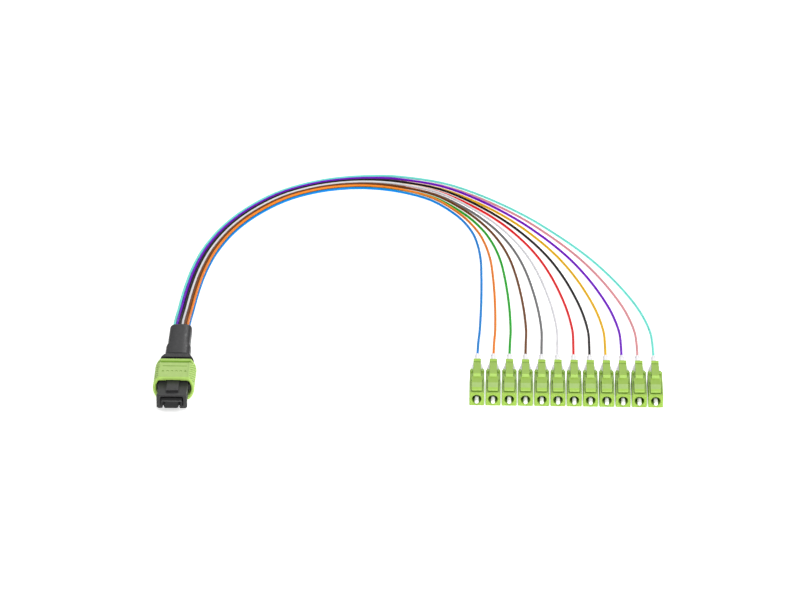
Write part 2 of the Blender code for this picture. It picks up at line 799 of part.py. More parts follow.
def add_plugs(group, tools):
    """Twelve like plugs in a row, each hung on an empty at the middle of its front face."""
    green = material("plug green", (0.34, 0.62, 0.08), 0.4)
    ceramic = material("ferrule ceramic", (0.85, 0.85, 0.85), 0.15)
    white = material("boot white", (0.80, 0.80, 0.80), 0.5)
    pieces = (
        ("lc_housing", plug_housing_mesh(tools), green),
        ("lc_ferrule", plug_ferrule_mesh(tools), ceramic),
        ("lc_boot", plug_boot_mesh(tools), white),
    )
    for number in range(1, FIBRES + 1):
        spot = (FIRST_PLUG_X + (number - 1) * PLUG_PITCH, PLUG_FACE_Y, PLUG_AXIS_Z)
        parent = anchor(f"lc_plug_{number:02d}", group, spot)
        for name, data, finish in pieces:
            place(f"{name}_{number:02d}", data, group, finish, parent)


def layer_rise(slot):
    """How far the upper layer lies above the lower one where neighbours are one slot apart."""
    share = slot / (LAYER_REACH * (FIBRE_DIAMETER + FIBRE_AIR))
    return (FIBRE_DIAMETER + FIBRE_AIR) * math.cos(math.pi / 2 * min(share, 1.0))


def bundle_sections():
    """Inner and outer fibre's place and the lift above the floor rest, at each bundle station."""
    rest = FIBRE_DIAMETER / 2 + layer_rise(TIGHT_SLOT) / 2
    start = (
        MULTI_ORIGIN.x,
        MULTI_ORIGIN.y + BOOT_END_Y - BOOT_MOUTH_DEPTH + FIBRE_END_GAP,
        MULTI_ORIGIN.z - rest,
        1.0,
    )
    route = [(x * MM, y * MM, lift * MM, spread) for x, y, lift, spread in BUNDLE_ROUTE]
    line = [start] + route
    after = FAN_ROUTE[0]
    ahead = ((after[0] + after[2]) / 2 * MM, (after[1] + after[3]) / 2 * MM)
    spots = [row[:2] for row in line] + [ahead]
    sections = []
    for i, (x, y, lift, spread) in enumerate(line):
        back = Vector(spots[max(i - 1, 0)])
        across = (Vector(spots[i + 1]) - back).normalized().orthogonal()
        half = across * spread * TIGHT_SLOT * (FIBRES - 1) / 2
        centre = Vector((x, y))
        sections.append((centre - half, centre + half, lift))
    return sections


def fan_sections():
    sections = [
        (Vector((a, b)) * MM, Vector((c, d)) * MM, lift * MM)
        for a, b, c, d, lift in FAN_ROUTE
    ]
    end_y = PLUG_FACE_Y + TAIL_END_Y - TAIL_BORE_DEPTH + FIBRE_END_GAP
    first = Vector((FIRST_PLUG_X, end_y))
    last = Vector((LAST_PLUG_X, end_y))
    sections.append((first, last, PLUG_AXIS_Z - FIBRE_DIAMETER / 2))
    return sections


def fibre_route(number, sections):
    """The route points of one fibre: odd fibres form the lower layer, even ones the upper."""
    share = (number - 1) / (FIBRES - 1)
    points = []
    for inner, outer, lift in sections:
        spot = inner.lerp(outer, share)
        slot = (outer - inner).length / (FIBRES - 1)
        upper = layer_rise(slot) if number % 2 == 0 else 0.0
        points.append(Vector((*spot, FIBRE_DIAMETER / 2 + lift + upper)))
    return points


def smooth_line(points, per_span):
    """Points along a smooth curve through the route's own points."""
    ends = [2 * points[0] - points[1]] + points + [2 * points[-1] - points[-2]]
    line = []
    for before, start, end, after in zip(ends, ends[1:], ends[2:], ends[3:]):
        for step in range(per_span):
            t = step / per_span
            swing = (2 * before - 5 * start + 4 * end - after) * t * t
            swing += (3 * start - before - 3 * end + after) * t**3
            line.append(start + ((end - before) * t + swing) / 2)
    line.append(points[-1])
    for point in line:
        point.z = max(point.z, FIBRE_DIAMETER / 2)
    return line


def add_fibre(number, colour_name, colour, sections, group):
    line = smooth_line(fibre_route(number, sections), POINTS_PER_SPAN)
    name = f"fibre_{number:02d}_{colour_name}"
    data = bpy.data.curves.new(name, "CURVE")
    data.dimensions = "3D"
    data.bevel_depth = FIBRE_DIAMETER / 2
    data.bevel_resolution = 2
    data.use_fill_caps = True
    spline = data.splines.new("POLY")
    spline.points.add(len(line) - 1)
    for point, place_of in zip(spline.points, line):
        point.co = (*place_of, 1.0)
    data.materials.append(material(f"fibre {colour_name}", colour, 0.35))
    item = bpy.data.objects.new(name, data)
    group.objects.link(item)
    return item


def main():
    clear_scene()
    group = new_collection("fibre_breakout_cable")
    tools = new_collection("shape_tools")
    plug = anchor("mpo_plug", group, MULTI_ORIGIN)
    add_coupling_sleeve(group, tools, plug)
    add_inner_housing(group, tools, plug)
    add_multi_ferrule(group, tools, plug)
    add_guide_pins(group, tools, plug)
    add_rear_body(group, tools, plug)
    add_multi_boot(group, tools, plug)
    add_plugs(group, tools)
    sections = bundle_sections() + fan_sections()
    for number, (colour_name, colour) in enumerate(FIBRE_COLOURS, 1):
        add_fibre(number, colour_name, colour, sections, group)


main()
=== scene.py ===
"""Fibre breakout cable, dressed for its photograph.

A twelve-fibre push-pull plug with a lime-green pull sleeve lies on the left. Its twelve bare coloured
fibres run in an arc to a row of twelve small lime-green latch plugs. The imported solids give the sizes
and places. Metres, +Z up, and every plug faces -Y.
"""

import math

import bmesh
import bpy
from bpy.props import FloatProperty, FloatVectorProperty, IntProperty, PointerProperty
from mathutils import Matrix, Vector


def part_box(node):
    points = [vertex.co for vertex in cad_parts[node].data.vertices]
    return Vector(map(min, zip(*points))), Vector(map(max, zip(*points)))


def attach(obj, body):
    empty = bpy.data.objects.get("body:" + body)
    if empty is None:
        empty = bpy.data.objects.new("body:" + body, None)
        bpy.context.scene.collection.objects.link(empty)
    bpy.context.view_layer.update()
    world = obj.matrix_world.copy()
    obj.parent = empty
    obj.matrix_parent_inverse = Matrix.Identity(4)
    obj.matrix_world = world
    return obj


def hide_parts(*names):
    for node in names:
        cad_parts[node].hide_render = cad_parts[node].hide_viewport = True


bl_info = {
    "name": "Fibre Breakout Cable",
    "version": (1, 0, 0),
    "blender": (4, 5, 0),
    "location": "3D View > Sidebar > Fibre cable",
    "description": "A twelve-fibre plug fanned out to twelve latch plugs, with its finishes and stage",
    "category": "Add Mesh",
}

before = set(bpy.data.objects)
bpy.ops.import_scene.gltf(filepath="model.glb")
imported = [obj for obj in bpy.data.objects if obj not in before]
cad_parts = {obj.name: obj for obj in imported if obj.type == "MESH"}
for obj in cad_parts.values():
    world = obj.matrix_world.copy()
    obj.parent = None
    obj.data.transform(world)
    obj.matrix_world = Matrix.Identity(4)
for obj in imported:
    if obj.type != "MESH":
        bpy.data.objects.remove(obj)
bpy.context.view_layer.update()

MM = 0.001
FIBRES = 12
CABLE = "cable"


def own_box(node, origin):
    """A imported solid's lowest and highest corner, from its plug's own origin."""
    low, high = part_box(node)
    return Vector(low) - origin, Vector(high) - origin


# The large plug's origin is the middle of its sleeve's front face
SLEEVE_LOW, SLEEVE_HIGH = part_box("mpo_coupling_sleeve")
SLEEVE_SIZE = SLEEVE_HIGH - SLEEVE_LOW
SLEEVE_TOP = SLEEVE_SIZE.z / 2
MULTI = Vector(
    ((SLEEVE_LOW.x + SLEEVE_HIGH.x) / 2, SLEEVE_LOW.y, (SLEEVE_LOW.z + SLEEVE_HIGH.z) / 2)
)
NOSE_LOW, NOSE_HIGH = own_box("mpo_inner_housing", MULTI)
FERRULE_LOW, FERRULE_HIGH = own_box("mpo_ferrule", MULTI)
PIN_LOW, PIN_HIGH = own_box("guide_pin_left", MULTI)
REAR_LOW, REAR_HIGH = own_box("mpo_rear_body", MULTI)
BOOT_LOW, BOOT_HIGH = own_box("mpo_boot", MULTI)

# A single plug's origin is the middle of its body's front face
PLUG_LOW, PLUG_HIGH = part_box("lc_housing_01")
BODY_SIDE = PLUG_HIGH.x - PLUG_LOW.x
PLUG_FACE = Vector(((PLUG_LOW.x + PLUG_HIGH.x) / 2, PLUG_LOW.y, BODY_SIDE / 2))
PLUG_PITCH = (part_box("lc_housing_12")[0].x - PLUG_LOW.x) / (FIBRES - 1)
TIP_LOW, TIP_HIGH = own_box("lc_ferrule_01", PLUG_FACE)
TAIL_LOW, TAIL_HIGH = own_box("lc_boot_01", PLUG_FACE)

# Sizes of the solids that their boxes don't give
SLEEVE_WALL = 0.95 * MM
SLEEVE_TOP_WALL = 1.3 * MM
SLEEVE_SIDE_RADIUS = 5.3 * MM
BORE_SIDE_RADIUS = SLEEVE_SIDE_RADIUS - SLEEVE_WALL
GLUE_GAP = 0.1 * MM
SLIDE_CLEARANCE = 0.3 * MM
KEY_WIDTH = 3.8 * MM
KEY_HEIGHT = 0.6 * MM
KEY_SETBACK = 2.4 * MM
KEY_END = 1.0 * MM
FRAME_LENGTH = 1.3 * MM
FRAME_STEP = 0.17 * MM
NOSE_CORNER = 0.45 * MM
NOSE_SIDE_GAP = 0.93 * MM
NOSE_SIDE = SLEEVE_SIZE.x / 2 - SLEEVE_WALL - NOSE_SIDE_GAP
NOSE_TOP = -NOSE_LOW.z - FRAME_STEP / 2
RAIL_HEIGHT = 2.0 * MM
RAIL_START = 0.8 * MM
FERRULE_CLEARANCE = 0.15 * MM
FLANGE_STEP = 0.3 * MM
FLANGE_LENGTH = 2.0 * MM
FERRULE_TRAVEL = 0.8 * MM
PIN_X = abs(PIN_LOW.x + PIN_HIGH.x) / 2
PIN_RADIUS = (PIN_HIGH.x - PIN_LOW.x) / 2
PIN_HOLE_CLEARANCE = 0.04 * MM
REAR_SIDE_TAPER = 1.8 * MM
REAR_TOP_TAPER = 0.2 * MM
REAR_COLLAR = 0.33 * MM
REAR_TAPER_LENGTH = 1.85 * MM
REAR_NECK_LENGTH = 1.05 * MM
REAR_NECK_SIDE = 0.9 * MM
REAR_NECK_TOP = 0.35 * MM
BOOT_FLARE = 0.8 * MM
BOOT_FLARE_LENGTH = 7.7 * MM
BOOT_FLARE_PEAK = 4.95 * MM
BOOT_FRONT_EDGE = 0.3 * MM
BOOT_LIP = 1.0 * MM
BOOT_WALL = 0.635 * MM
BOOT_MOUTH_DEPTH = 2.4 * MM
BOOT_MOUTH_ROOM = 0.18 * MM
LATCH_WIDTH = 3.2 * MM
LATCH_START = 1.1 * MM
LATCH_LENGTH = 6.1 * MM
LATCH_RISE = 1.75 * MM
ARM_THICKNESS = 0.75 * MM
ARM_ROOT = 0.4 * MM
ARM_TOP = ((0.0, 0.12), (0.05, 0.29), (0.18, 0.44), (0.47, 0.82), (1.0, 1.0))
ARM_KNEE = (0.47, 0.3)
ARM_ROOT_END = 0.29
TAB_WIDTH = 2.35 * MM
TAB_LENGTH = 8.5 * MM
TAB_RISE = 3.18 * MM
TAB_OVERLAP = 0.4 * MM
TAB_SLOPE = 0.7 * MM
TAB_LIP = 1.1 * MM
TAB_LIP_STEP = 0.6 * MM
TAB_TOP = (0.78, 0.91, 0.87)
EAR_WIDTH = 0.7 * MM
EAR_LENGTH = 1.7 * MM
EAR_HEIGHT = 0.45 * MM
EAR_SETBACK = 0.3 * MM
TIP_RADIUS = 0.625 * MM
TIP_LENGTH = 6.4 * MM
TIP_CHAMFER = 0.15 * MM
TIP_TRAVEL = 0.6 * MM
COLLAR_RADIUS = (TIP_HIGH.x - TIP_LOW.x) / 2
TAIL_CONE_START = 3.3 * MM
TAIL_CONE_LENGTH = 5.2 * MM
TAIL_BULGE = 0.12 * MM
TAIL_TUBE = 1.8 * MM
TAIL_WALL = 0.25 * MM
TAIL_ROUNDING = 0.2 * MM
TAIL_BORE_DEPTH = 1.6 * MM
TAIL_BORE = TAIL_TUBE - 2 * TAIL_WALL
BODY_LENGTH = TAIL_LOW.y - GLUE_GAP

# Fibres: bare buffered ones. The photo shows each from end to end, so its length is that of its route.
FIBRE_DIAMETER = 0.8 * MM
FIBRE_AIR = 0.03 * MM
FIBRE_END_GAP = 0.3 * MM
LAYER_REACH = 2.0
LAYER_PITCH = FIBRE_DIAMETER + FIBRE_AIR
TIGHT_SLOT = LAYER_PITCH / 2
POINTS_PER_SPAN = 4

# The bundle's line over the floor in millimetres: x, y, height above its resting height, and how far
# the fibres spread, as times their tightest spacing
BUNDLE_ROUTE = (
    (-71.4, 26.5, 2.9, 1.0),
    (-71.4, 33.0, 1.5, 1.0),
    (-71.1, 41.0, 0.3, 1.0),
    (-70.2, 53.8, 0.0, 1.0),
    (-68.6, 66.8, 0.0, 1.0),
    (-65.8, 80.1, 0.0, 1.0),
    (-61.0, 93.6, 0.0, 1.0),
    (-54.1, 105.9, 0.0, 1.05),
    (-45.05, 116.55, 0.0, 1.14),
    (-35.3, 123.15, 0.0, 1.25),
    (-25.5, 126.7, 0.0, 1.41),
    (-15.6, 127.85, 0.0, 1.64),
)

# The fan: x, y of the inner fibre, x, y of the outer one, and the height above the floor rest
FAN_ROUTE = (
    (-5.4, 121.9, -5.8, 131.5, 0.0),
    (5.2, 116.1, 9.0, 127.4, 0.0),
    (13.85, 105.5, 22.3, 118.9, 0.0),
    (18.45, 95.5, 35.7, 106.5, 0.0),
    (20.5, 86.5, 47.0, 92.5, 0.0),
    (21.6, 76.5, 55.6, 80.0, 0.0),
    (21.9, 66.0, 62.3, 68.0, 0.0),
    (22.0, 54.0, 67.8, 56.0, 0.0),
    (21.9, 42.0, 72.1, 44.0, 0.1),
    (21.65, 30.0, 74.8, 31.0, 0.7),
    (21.25, 20.5, 75.4, 20.5, 1.65),
)

# Camera and light, from the photo's viewpoint
CAMERA_PLACE = (24.7 * MM, -1161.05 * MM, 693.3 * MM)
CAMERA_TILT = 60.226
CAMERA_TURN = 1.348
CAMERA_LENS = 198.0
FLOOR_DROP = 0.02 * MM
FLOOR_SIDE = 6.0
FLOOR_GLOW = 0.62
SKY_STRENGTH = 0.3
MIDDLE = (0.0, 0.03, 0.0)

# Each soft light: its name, its place, what it faces, its width, its height and its watts
SOFT_LIGHTS = (
    ("key", (0.08, -0.75, 0.95), MIDDLE, 0.8, 0.5, 9.8),
    ("right fill", (0.95, -0.35, 0.55), MIDDLE, 0.5, 0.5, 3.8),
    ("back wall", (0.0, 1.3, 0.75), MIDDLE, 1.6, 0.7, 2.6),
    ("rear strip", (0.04, 1.05, 0.6), (-0.07, 0.01, 0.0), 0.12, 0.5, 1.0),
)

# Finer shapes of the large plug that the solids leave plain
GROOVE_WALL = 0.1 * MM
KNURL_STRETCH = 1.15
KNURL_RISE = 3  # a diamond is at its full height a third of its pitch from a groove
KNURL_FADE = 0.5 * MM
KNURL_SHADE = 0.35  # a diamond's height below which it has the groove's finish, a painted shade
LINE_LENGTH = 7.5 * MM
LINE_WIDTH = 0.32 * MM
LINE_PLACE = 7.25 * MM
MARK_DEPTH = 0.14 * MM
MARKS_START = 3.5 * MM
MARKS_END = 8.0 * MM
ARROWS = 6
ARROW_PITCH = 1.36 * MM
ARROW_SIDE = 0.42 * MM
ARROW_FOOT = 3.95 * MM
ARROW_TIP = 4.75 * MM
ARROW_STROKE = 0.3 * MM
RECESS_DEPTH = 0.5 * MM
RECESS_START = 3.0 * MM
RECESS_END = 4.9 * MM
RECESS_TOP = 1.1 * MM
MOUTH_CORNER = 0.12 * MM
MOUTH_FLARE = 0.36 * MM
MOUTH_FLARE_LENGTH = 0.2 * MM
MOUTH_POCKET_SIDE = 3.38 * MM
MOUTH_POCKET_TOP = 1.8 * MM
MOUTH_POCKET_DEPTH = 3.0 * MM
FERRULE_EDGE = 0.1 * MM
FERRULE_CORNER = 0.15 * MM
PIN_NOSE = 0.3 * MM
PIN_HOLE_FLARE = 0.12 * MM
FIBRE_HOLE_PITCH = 0.25 * MM
FIBRE_HOLE_RADIUS = 0.07 * MM
FIBRE_HOLE_DEPTH = 0.08 * MM
WAIST_LENGTH = 1.5 * MM
WAIST_DEPTH = 0.7 * MM
BOOT_CROWN = 3.4
BOOT_END_DROP = 0.35
BOOT_END_LOSS = 0.9 * MM
BOOT_MOUTH_EDGE = 0.15 * MM
BOOT_MOUTH_FLARE = 0.3 * MM

# How much wider the sleeve's bore is behind its front face and about its rear one, in millimetres
BORE_FRONT = ((-1.0, 0.42), (0.12, 0.38), (0.22, 0.12), (0.34, 0.0))
BORE_REAR = ((-0.3, 0.0), (0.0, 0.25), (1.0, 0.25))

# Finer shapes of the single plugs
BODY_ROUNDING = 0.26 * MM
SMALL_ROUNDING = 0.15 * MM
ARM_CORNER = 0.35 * MM
BED_CORNER = 0.5 * MM
BED_ROOM = 0.9 * MM
WINDOW_DEPTH = 0.3 * MM
WINDOW_START = 9.0 * MM
WINDOW_END = 12.2 * MM
WINDOW_TOP = 0.9 * MM
TIP_DOME = 0.03 * MM
TIP_EDGE = 0.03 * MM
TIP_EDGE_LENGTH = 0.04 * MM
COLLAR_EDGE = 0.1 * MM
TAIL_EDGE = 0.15 * MM
TAIL_SHOULDER = 0.8 * MM
TAIL_STEPS = 10

# How the shapes are made
ROUND_STEPS = 48
QUARTER = tuple(math.radians(15 * i) for i in range(7))
CUT_PAST = 1.0 * MM
MERGE_DISTANCE = 0.001 * MM
WALL_STEP = 0.01 * MM
SUNK = 0.02 * MM
SMOOTH_ANGLE = 32
ROUND_ANGLE = 40

# Places of the green finishes in a moulding's list: plain; sparked, whose paler colour is partly a
# painted sheen; a darker copy painted into hollows and grooves as shade; and a lighter copy painted on
# up-facing edges as highlight
PLAIN, SPARKED, PAINTED_SHADE, PAINTED_HIGHLIGHT = range(4)


def length(name, description, default):
    """A size that the sidebar shows, in metres."""
    return FloatProperty(
        name=name, description=description, default=default, min=0.0, precision=5, unit="LENGTH"
    )


def tint(name, description, default):
    """A colour that the sidebar shows."""
    return FloatVectorProperty(
        name=name, description=description, default=default, size=3, min=0.0, max=1.0, subtype="COLOR"
    )


class CableSizes(bpy.types.PropertyGroup):
    """Sizes of the fine relief that the solids leave plain."""

    edge_rounding: length("Edge rounding", "Radius on moulded edges", 0.12 * MM)
    sleeve_rounding: length("Sleeve rounding", "Radius on the front end of the pull sleeve", 0.36 * MM)
    rear_rounding: length("Rear rounding", "Radius on the rear end of the pull sleeve", 0.15 * MM)
    knurl_pitch: length("Knurl pitch", "Width of one diamond on the sleeve's sides", 1.1 * MM)
    knurl_depth: length("Knurl depth", "Depth of the grooves between diamonds", 0.24 * MM)
    panel_width: length("Panel width", "Width of the sunk panel on the sleeve", 8.6 * MM)
    panel_depth: length("Panel depth", "How far the panel is sunk", 0.15 * MM)
    rear_band: length("Rear band", "Smooth sloping band at the rear", 1.15 * MM)
    rear_band_slope: length("Rear band slope", "How far that band falls forwards", 0.1 * MM)
    rear_groove: length("Rear groove", "Length of the groove ahead of the band", 1.0 * MM)
    rear_groove_depth: length("Rear groove depth", "Its depth below the top", 0.42 * MM)
    front_band: length("Front band", "Smooth band ahead of the panel", 0.6 * MM)
    bore_flare: length("Bore flare", "Countersink on the single plugs' bores", 0.12 * MM)
    latch_gap: length("Latch gap", "Width of the groove round the latch arm", 0.22 * MM)
    latch_gap_depth: length("Latch gap depth", "Depth of that groove", 0.45 * MM)
    root_gap: length("Root gap", "Width of the groove at the arm's root", 0.45 * MM)
    diamond_steps: IntProperty(
        name="Steps in a diamond",
        description="Mesh steps across one diamond of the knurl",
        default=8,
        min=4,
    )


class CableColours(bpy.types.PropertyGroup):
    """Colours of the mouldings, as linear values."""

    sleeve: tint("Sleeve", "Smooth parts of the pull sleeve", (0.42, 0.65, 0.135))
    # Paler than the smooth green: the sparked face is real, its paler tone partly a painted sheen
    sleeve_matt: tint("Sleeve, sparked", "Sparked panel and knurl of the sleeve", (0.46, 0.65, 0.20))
    # Painted shade: a darker green for the sleeve's knurl grooves, rear groove and sunk marks
    sleeve_groove: tint("Sleeve groove", "Groove ahead of the sleeve's rear band", (0.22, 0.40, 0.05))
    plug: tint("Single plug", "Body of the single plugs", (0.315, 0.508, 0.070))
    # Paler than the body's green: the sparked ramp is real, its paler tone partly a painted sheen
    plug_matt: tint("Single plug, sparked", "Thumb ramp of the single plugs", (0.395, 0.57, 0.185))
    # Painted shade: a darker green for the plugs' bores, the groove at the arm's root and the dip behind
    # the lip
    plug_hollow: tint("Single plug, hollows", "Bore and latch groove of the plugs", (0.17, 0.32, 0.033))
    # Painted highlight: a lighter green on the up-facing root, tab slope, lip and ears
    plug_thin: tint("Single plug, painted highlight", "Lip, ears and root, highlight painted on", (0.39, 0.62, 0.105))
    rear: tint("Rear body", "Black body behind the sleeve", (0.022, 0.022, 0.023))
    housing: tint("Inner housing", "Black nose of the large plug", (0.030, 0.030, 0.031))
    # Painted shade: a near-black put on the waist, where the hollow behind the sleeve lies in shade
    waist: tint("Rear body waist", "Hollow behind the sleeve", (0.003, 0.003, 0.004))
    resin: tint("Ferrule resin", "Moulded ferrule of the large plug", (0.031, 0.031, 0.032))
    polished: tint("Ferrule face", "Polished front of that ferrule", (0.010, 0.010, 0.011))
    boot: tint("Boot", "Soft boot of the large plug", (0.021, 0.021, 0.023))
    steel: tint("Guide pins", "Ground steel", (0.52, 0.52, 0.53))
    ceramic: tint("Ceramic", "Polished tips of the single plugs", (0.92, 0.92, 0.91))
    collar: tint("Tip collar", "Plated holder of the ceramic tips", (0.36, 0.36, 0.35))
    tail: tint("White boot", "Boots of the single plugs", (0.93, 0.92, 0.96))
    floor: tint("Floor", "Plain pale floor", (0.92, 0.92, 0.92))


class FibreColours(bpy.types.PropertyGroup):
    """Colours of the twelve fibres, as linear values, from the inside of the arc."""

    blue: tint("Blue", "Fibre 1", (0.006, 0.24, 0.69))
    orange: tint("Orange", "Fibre 2", (0.90, 0.24, 0.022))
    green: tint("Green", "Fibre 3", (0.014, 0.42, 0.024))
    brown: tint("Brown", "Fibre 4", (0.18, 0.058, 0.014))
    slate: tint("Slate", "Fibre 5", (0.19, 0.19, 0.195))
    white: tint("White", "Fibre 6", (0.79, 0.79, 0.82))
    red: tint("Red", "Fibre 7", (0.78, 0.018, 0.022))
    black: tint("Black", "Fibre 8", (0.012, 0.012, 0.013))
    yellow: tint("Yellow", "Fibre 9", (0.88, 0.50, 0.008))
    violet: tint("Violet", "Fibre 10", (0.185, 0.007, 0.60))
    rose: tint("Rose", "Fibre 11", (0.80, 0.345, 0.36))
    aqua: tint("Aqua", "Fibre 12", (0.21, 0.85, 0.72))


FIBRE_NAMES = tuple(FibreColours.__annotations__)


def mesh_of(shape, name):
    """A mesh from a bmesh, which is used up."""
    bmesh.ops.recalc_face_normals(shape, faces=shape.faces)
    data = bpy.data.meshes.new(name)
    shape.to_mesh(data)
    shape.free()
    return data


def loose_object(name, data):
    item = bpy.data.objects.new(name, data)
    bpy.context.scene.collection.objects.link(item)
    return item


def skin(name, rings):
    """A closed skin through rings with the same number of points."""
    shape = bmesh.new()
    loops = [[shape.verts.new(point) for point in line] for line in rings]
    for near, far in zip(loops, loops[1:]):
        for i in range(len(near)):
            shape.faces.new((near[i - 1], near[i], far[i], far[i - 1]))
    shape.faces.new(loops[0])
    shape.faces.new(loops[-1])
    return loose_object(name, mesh_of(shape, name))


def lofted(name, stations, outline):
    """A closed skin through outlines across the axis; a station is a y and the outline's own values."""
    return skin(name, [[(x, y, z) for x, z in outline(*values)] for y, *values in stations])


def round_edges(shape, rounding, segments):
    bmesh.ops.bevel(
        shape,
        geom=list(shape.edges),
        offset=rounding,
        segments=segments,
        profile=0.5,
        affect="EDGES",
        clamp_overlap=True,
    )


def block(name, low, high, rounding=0.0, segments=2):
    """A box with rounded edges."""
    shape = bmesh.new()
    bmesh.ops.create_cube(shape, size=1.0)
    for corner in shape.verts:
        for axis in range(3):
            corner.co[axis] = low[axis] if corner.co[axis] < 0 else high[axis]
    if rounding:
        round_edges(shape, rounding, segments)
    return loose_object(name, mesh_of(shape, name))


def side_blocks(name, near, far, low, high, rounding, segments=2):
    """Two like blocks, from near to far on either side; low and high are their y and z."""
    for hand in (-1, 1):
        left, right = sorted((hand * near, hand * far))
        yield block(name, (left, *low), (right, *high), rounding, segments)


def prism(name, outline, push, rounding=0.0, segments=2):
    """A flat outline of 3D points, pushed along a vector, with rounded edges."""
    shape = bmesh.new()
    face = shape.faces.new([shape.verts.new(point) for point in outline])
    pushed = bmesh.ops.extrude_face_region(shape, geom=[face])
    moved = [item for item in pushed["geom"] if isinstance(item, bmesh.types.BMVert)]
    bmesh.ops.translate(shape, verts=moved, vec=push)
    bmesh.ops.recalc_face_normals(shape, faces=shape.faces)
    if rounding:
        round_edges(shape, rounding, segments)
    return loose_object(name, mesh_of(shape, name))


def side_prism(name, outline, width, rounding):
    """A side view of (y, z) points, made as wide as given."""
    points = [(-width / 2, y, z) for y, z in outline]
    return prism(name, points, Vector((width, 0, 0)), rounding)


def plan_prism(name, outline, place, height):
    """A plan of (x, y) points about a place, made as high as given."""
    points = [Vector((x, y, 0.0)) + Vector(place) for x, y in outline]
    return prism(name, points, Vector((0, 0, height)))


def turned(name, profile, steps=ROUND_STEPS, x=0.0):
    """A profile of (radius, y) points, turned about the Y axis through x."""
    shape = bmesh.new()
    line = [shape.verts.new((radius, y, 0.0)) for radius, y in profile]
    edges = [shape.edges.new(pair) for pair in zip(line, line[1:])]
    bmesh.ops.spin(
        shape,
        geom=line + edges,
        axis=(0, 1, 0),
        cent=(0, 0, 0),
        angle=2 * math.pi,
        steps=steps,
        use_merge=True,
    )
    bmesh.ops.remove_doubles(shape, verts=shape.verts, dist=MERGE_DISTANCE)
    bmesh.ops.translate(shape, verts=shape.verts, vec=(x, 0, 0))
    return loose_object(name, mesh_of(shape, name))


def drill(name, radius, front, deep, flare=0.0, steps=ROUND_STEPS, x=0.0):
    """Cutter for a round hole that may have a countersunk mouth."""
    start = front - CUT_PAST
    mouth = [(radius + flare, front), (radius, front + flare)] if flare else []
    profile = [(0.0, start), (radius + flare, start), *mouth, (radius, deep), (0.0, deep)]
    return turned(name, profile, steps, x)


def combine(item, other, operation):
    """Adds or cuts away another shape, which is used up."""
    step = item.modifiers.new(other.name, "BOOLEAN")
    step.operation = operation
    step.object = other
    step.solver = "EXACT"
    finished = evaluated_mesh(item)
    item.modifiers.clear()
    item.data = finished
    bpy.data.objects.remove(other, do_unlink=True)


def evaluated_mesh(item):
    graph = bpy.context.evaluated_depsgraph_get()
    return bpy.data.meshes.new_from_object(item.evaluated_get(graph))


def add(item, other):
    combine(item, other, "UNION")


def cut(item, other):
    combine(item, other, "DIFFERENCE")


def smooth(item, angle=SMOOTH_ANGLE):
    """Smooth shading that breaks at sharp edges and stays even over flat faces."""
    item.data.shade_smooth()
    item.data.set_sharp_from_angle(angle=math.radians(angle))
    even = item.modifiers.new("even shading", "WEIGHTED_NORMAL")
    even.keep_sharp = True
    item.data = evaluated_mesh(item)
    item.modifiers.clear()


def coat(item, *finishes):
    """Gives a shape its finishes, before any of its faces is given another than the first."""
    item.data.materials.clear()
    for finish in finishes:
        item.data.materials.append(finish)


def coat_between(data, start, end):
    """Gives the second finish to the faces between two places along the axis, the first to the rest."""
    for face in data.polygons:
        face.material_index = int(start < face.center.y < end)


def dress(item, name, place, body, node):
    """Names a finished shape, puts it in place on its body and hides the plain solid behind it."""
    item.name = name
    item.data.name = name
    item.location = place
    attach(item, body)
    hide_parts(node)


def arc(centre, radius, start, end, steps):
    """Points of a circular arc in a plane, with its angles in degrees."""
    turns = [math.radians(start + (end - start) * i / steps) for i in range(steps + 1)]
    x, y = centre
    return [(x + radius * math.cos(turn), y + radius * math.sin(turn)) for turn in turns]


def bowed_outline(width, height, steps, grow=0.0):
    """The sleeve bore's kind of section: flat top and bottom with bowed sides, as (x, z) points."""
    half, bow = height / 2 + grow, BORE_SIDE_RADIUS + grow
    reach = math.degrees(math.asin(half / bow))
    right = arc((width / 2 + grow - bow, 0.0), bow, -reach, reach, steps)
    return right + [(-x, -z) for x, z in right]


def slot_outline(width, height, steps=16):
    """Two half circles joined by straight sides, as (x, z) points."""
    radius = height / 2
    right = arc((width / 2 - radius, 0.0), radius, -90, 90, steps)
    return right + [(-x, -z) for x, z in right]


def box_outline(width, height, corner, steps=4):
    """A rectangle with rounded corners, as (x, z) points."""
    points = []
    for turn, (i, j) in enumerate(((1, -1), (1, 1), (-1, 1), (-1, -1))):
        centre = (i * (width / 2 - corner), j * (height / 2 - corner))
        start = 90 * turn - 90
        points += arc(centre, corner, start, start + 90, steps)
    return points


def crowned_outline(width, height, power, steps=64):
    """A rounded section whose flats are a little crowned, as (x, z) points."""
    points = []
    for step in range(steps):
        turn = 2 * math.pi * (step + 0.5) / steps
        reach = (math.cos(turn), math.sin(turn))
        x, z = (math.copysign(abs(share) ** (2 / power), share) for share in reach)
        points.append((x * width / 2, z * height / 2))
    return points


# Finishes


def set_inputs(node, values):
    for socket, value in values.items():
        node.inputs[socket].default_value = value


def new_node(tree, kind, values, links, **settings):
    """A shader node with its settings, the plain values of its sockets and what is linked to them."""
    node = tree.nodes.new(kind)
    for name, setting in settings.items():
        setattr(node, name, setting)
    set_inputs(node, values)
    for socket, output in links.items():
        tree.links.new(output, node.inputs[socket])
    return node


def new_finish(name, gloss, metallic=0.0, specular=0.5):
    made = bpy.data.materials.new(name)
    made.use_nodes = True
    shader = made.node_tree.nodes["Principled BSDF"]
    set_inputs(shader, {"Roughness": gloss, "Metallic": metallic, "Specular IOR Level": specular})
    return made, made.node_tree, shader


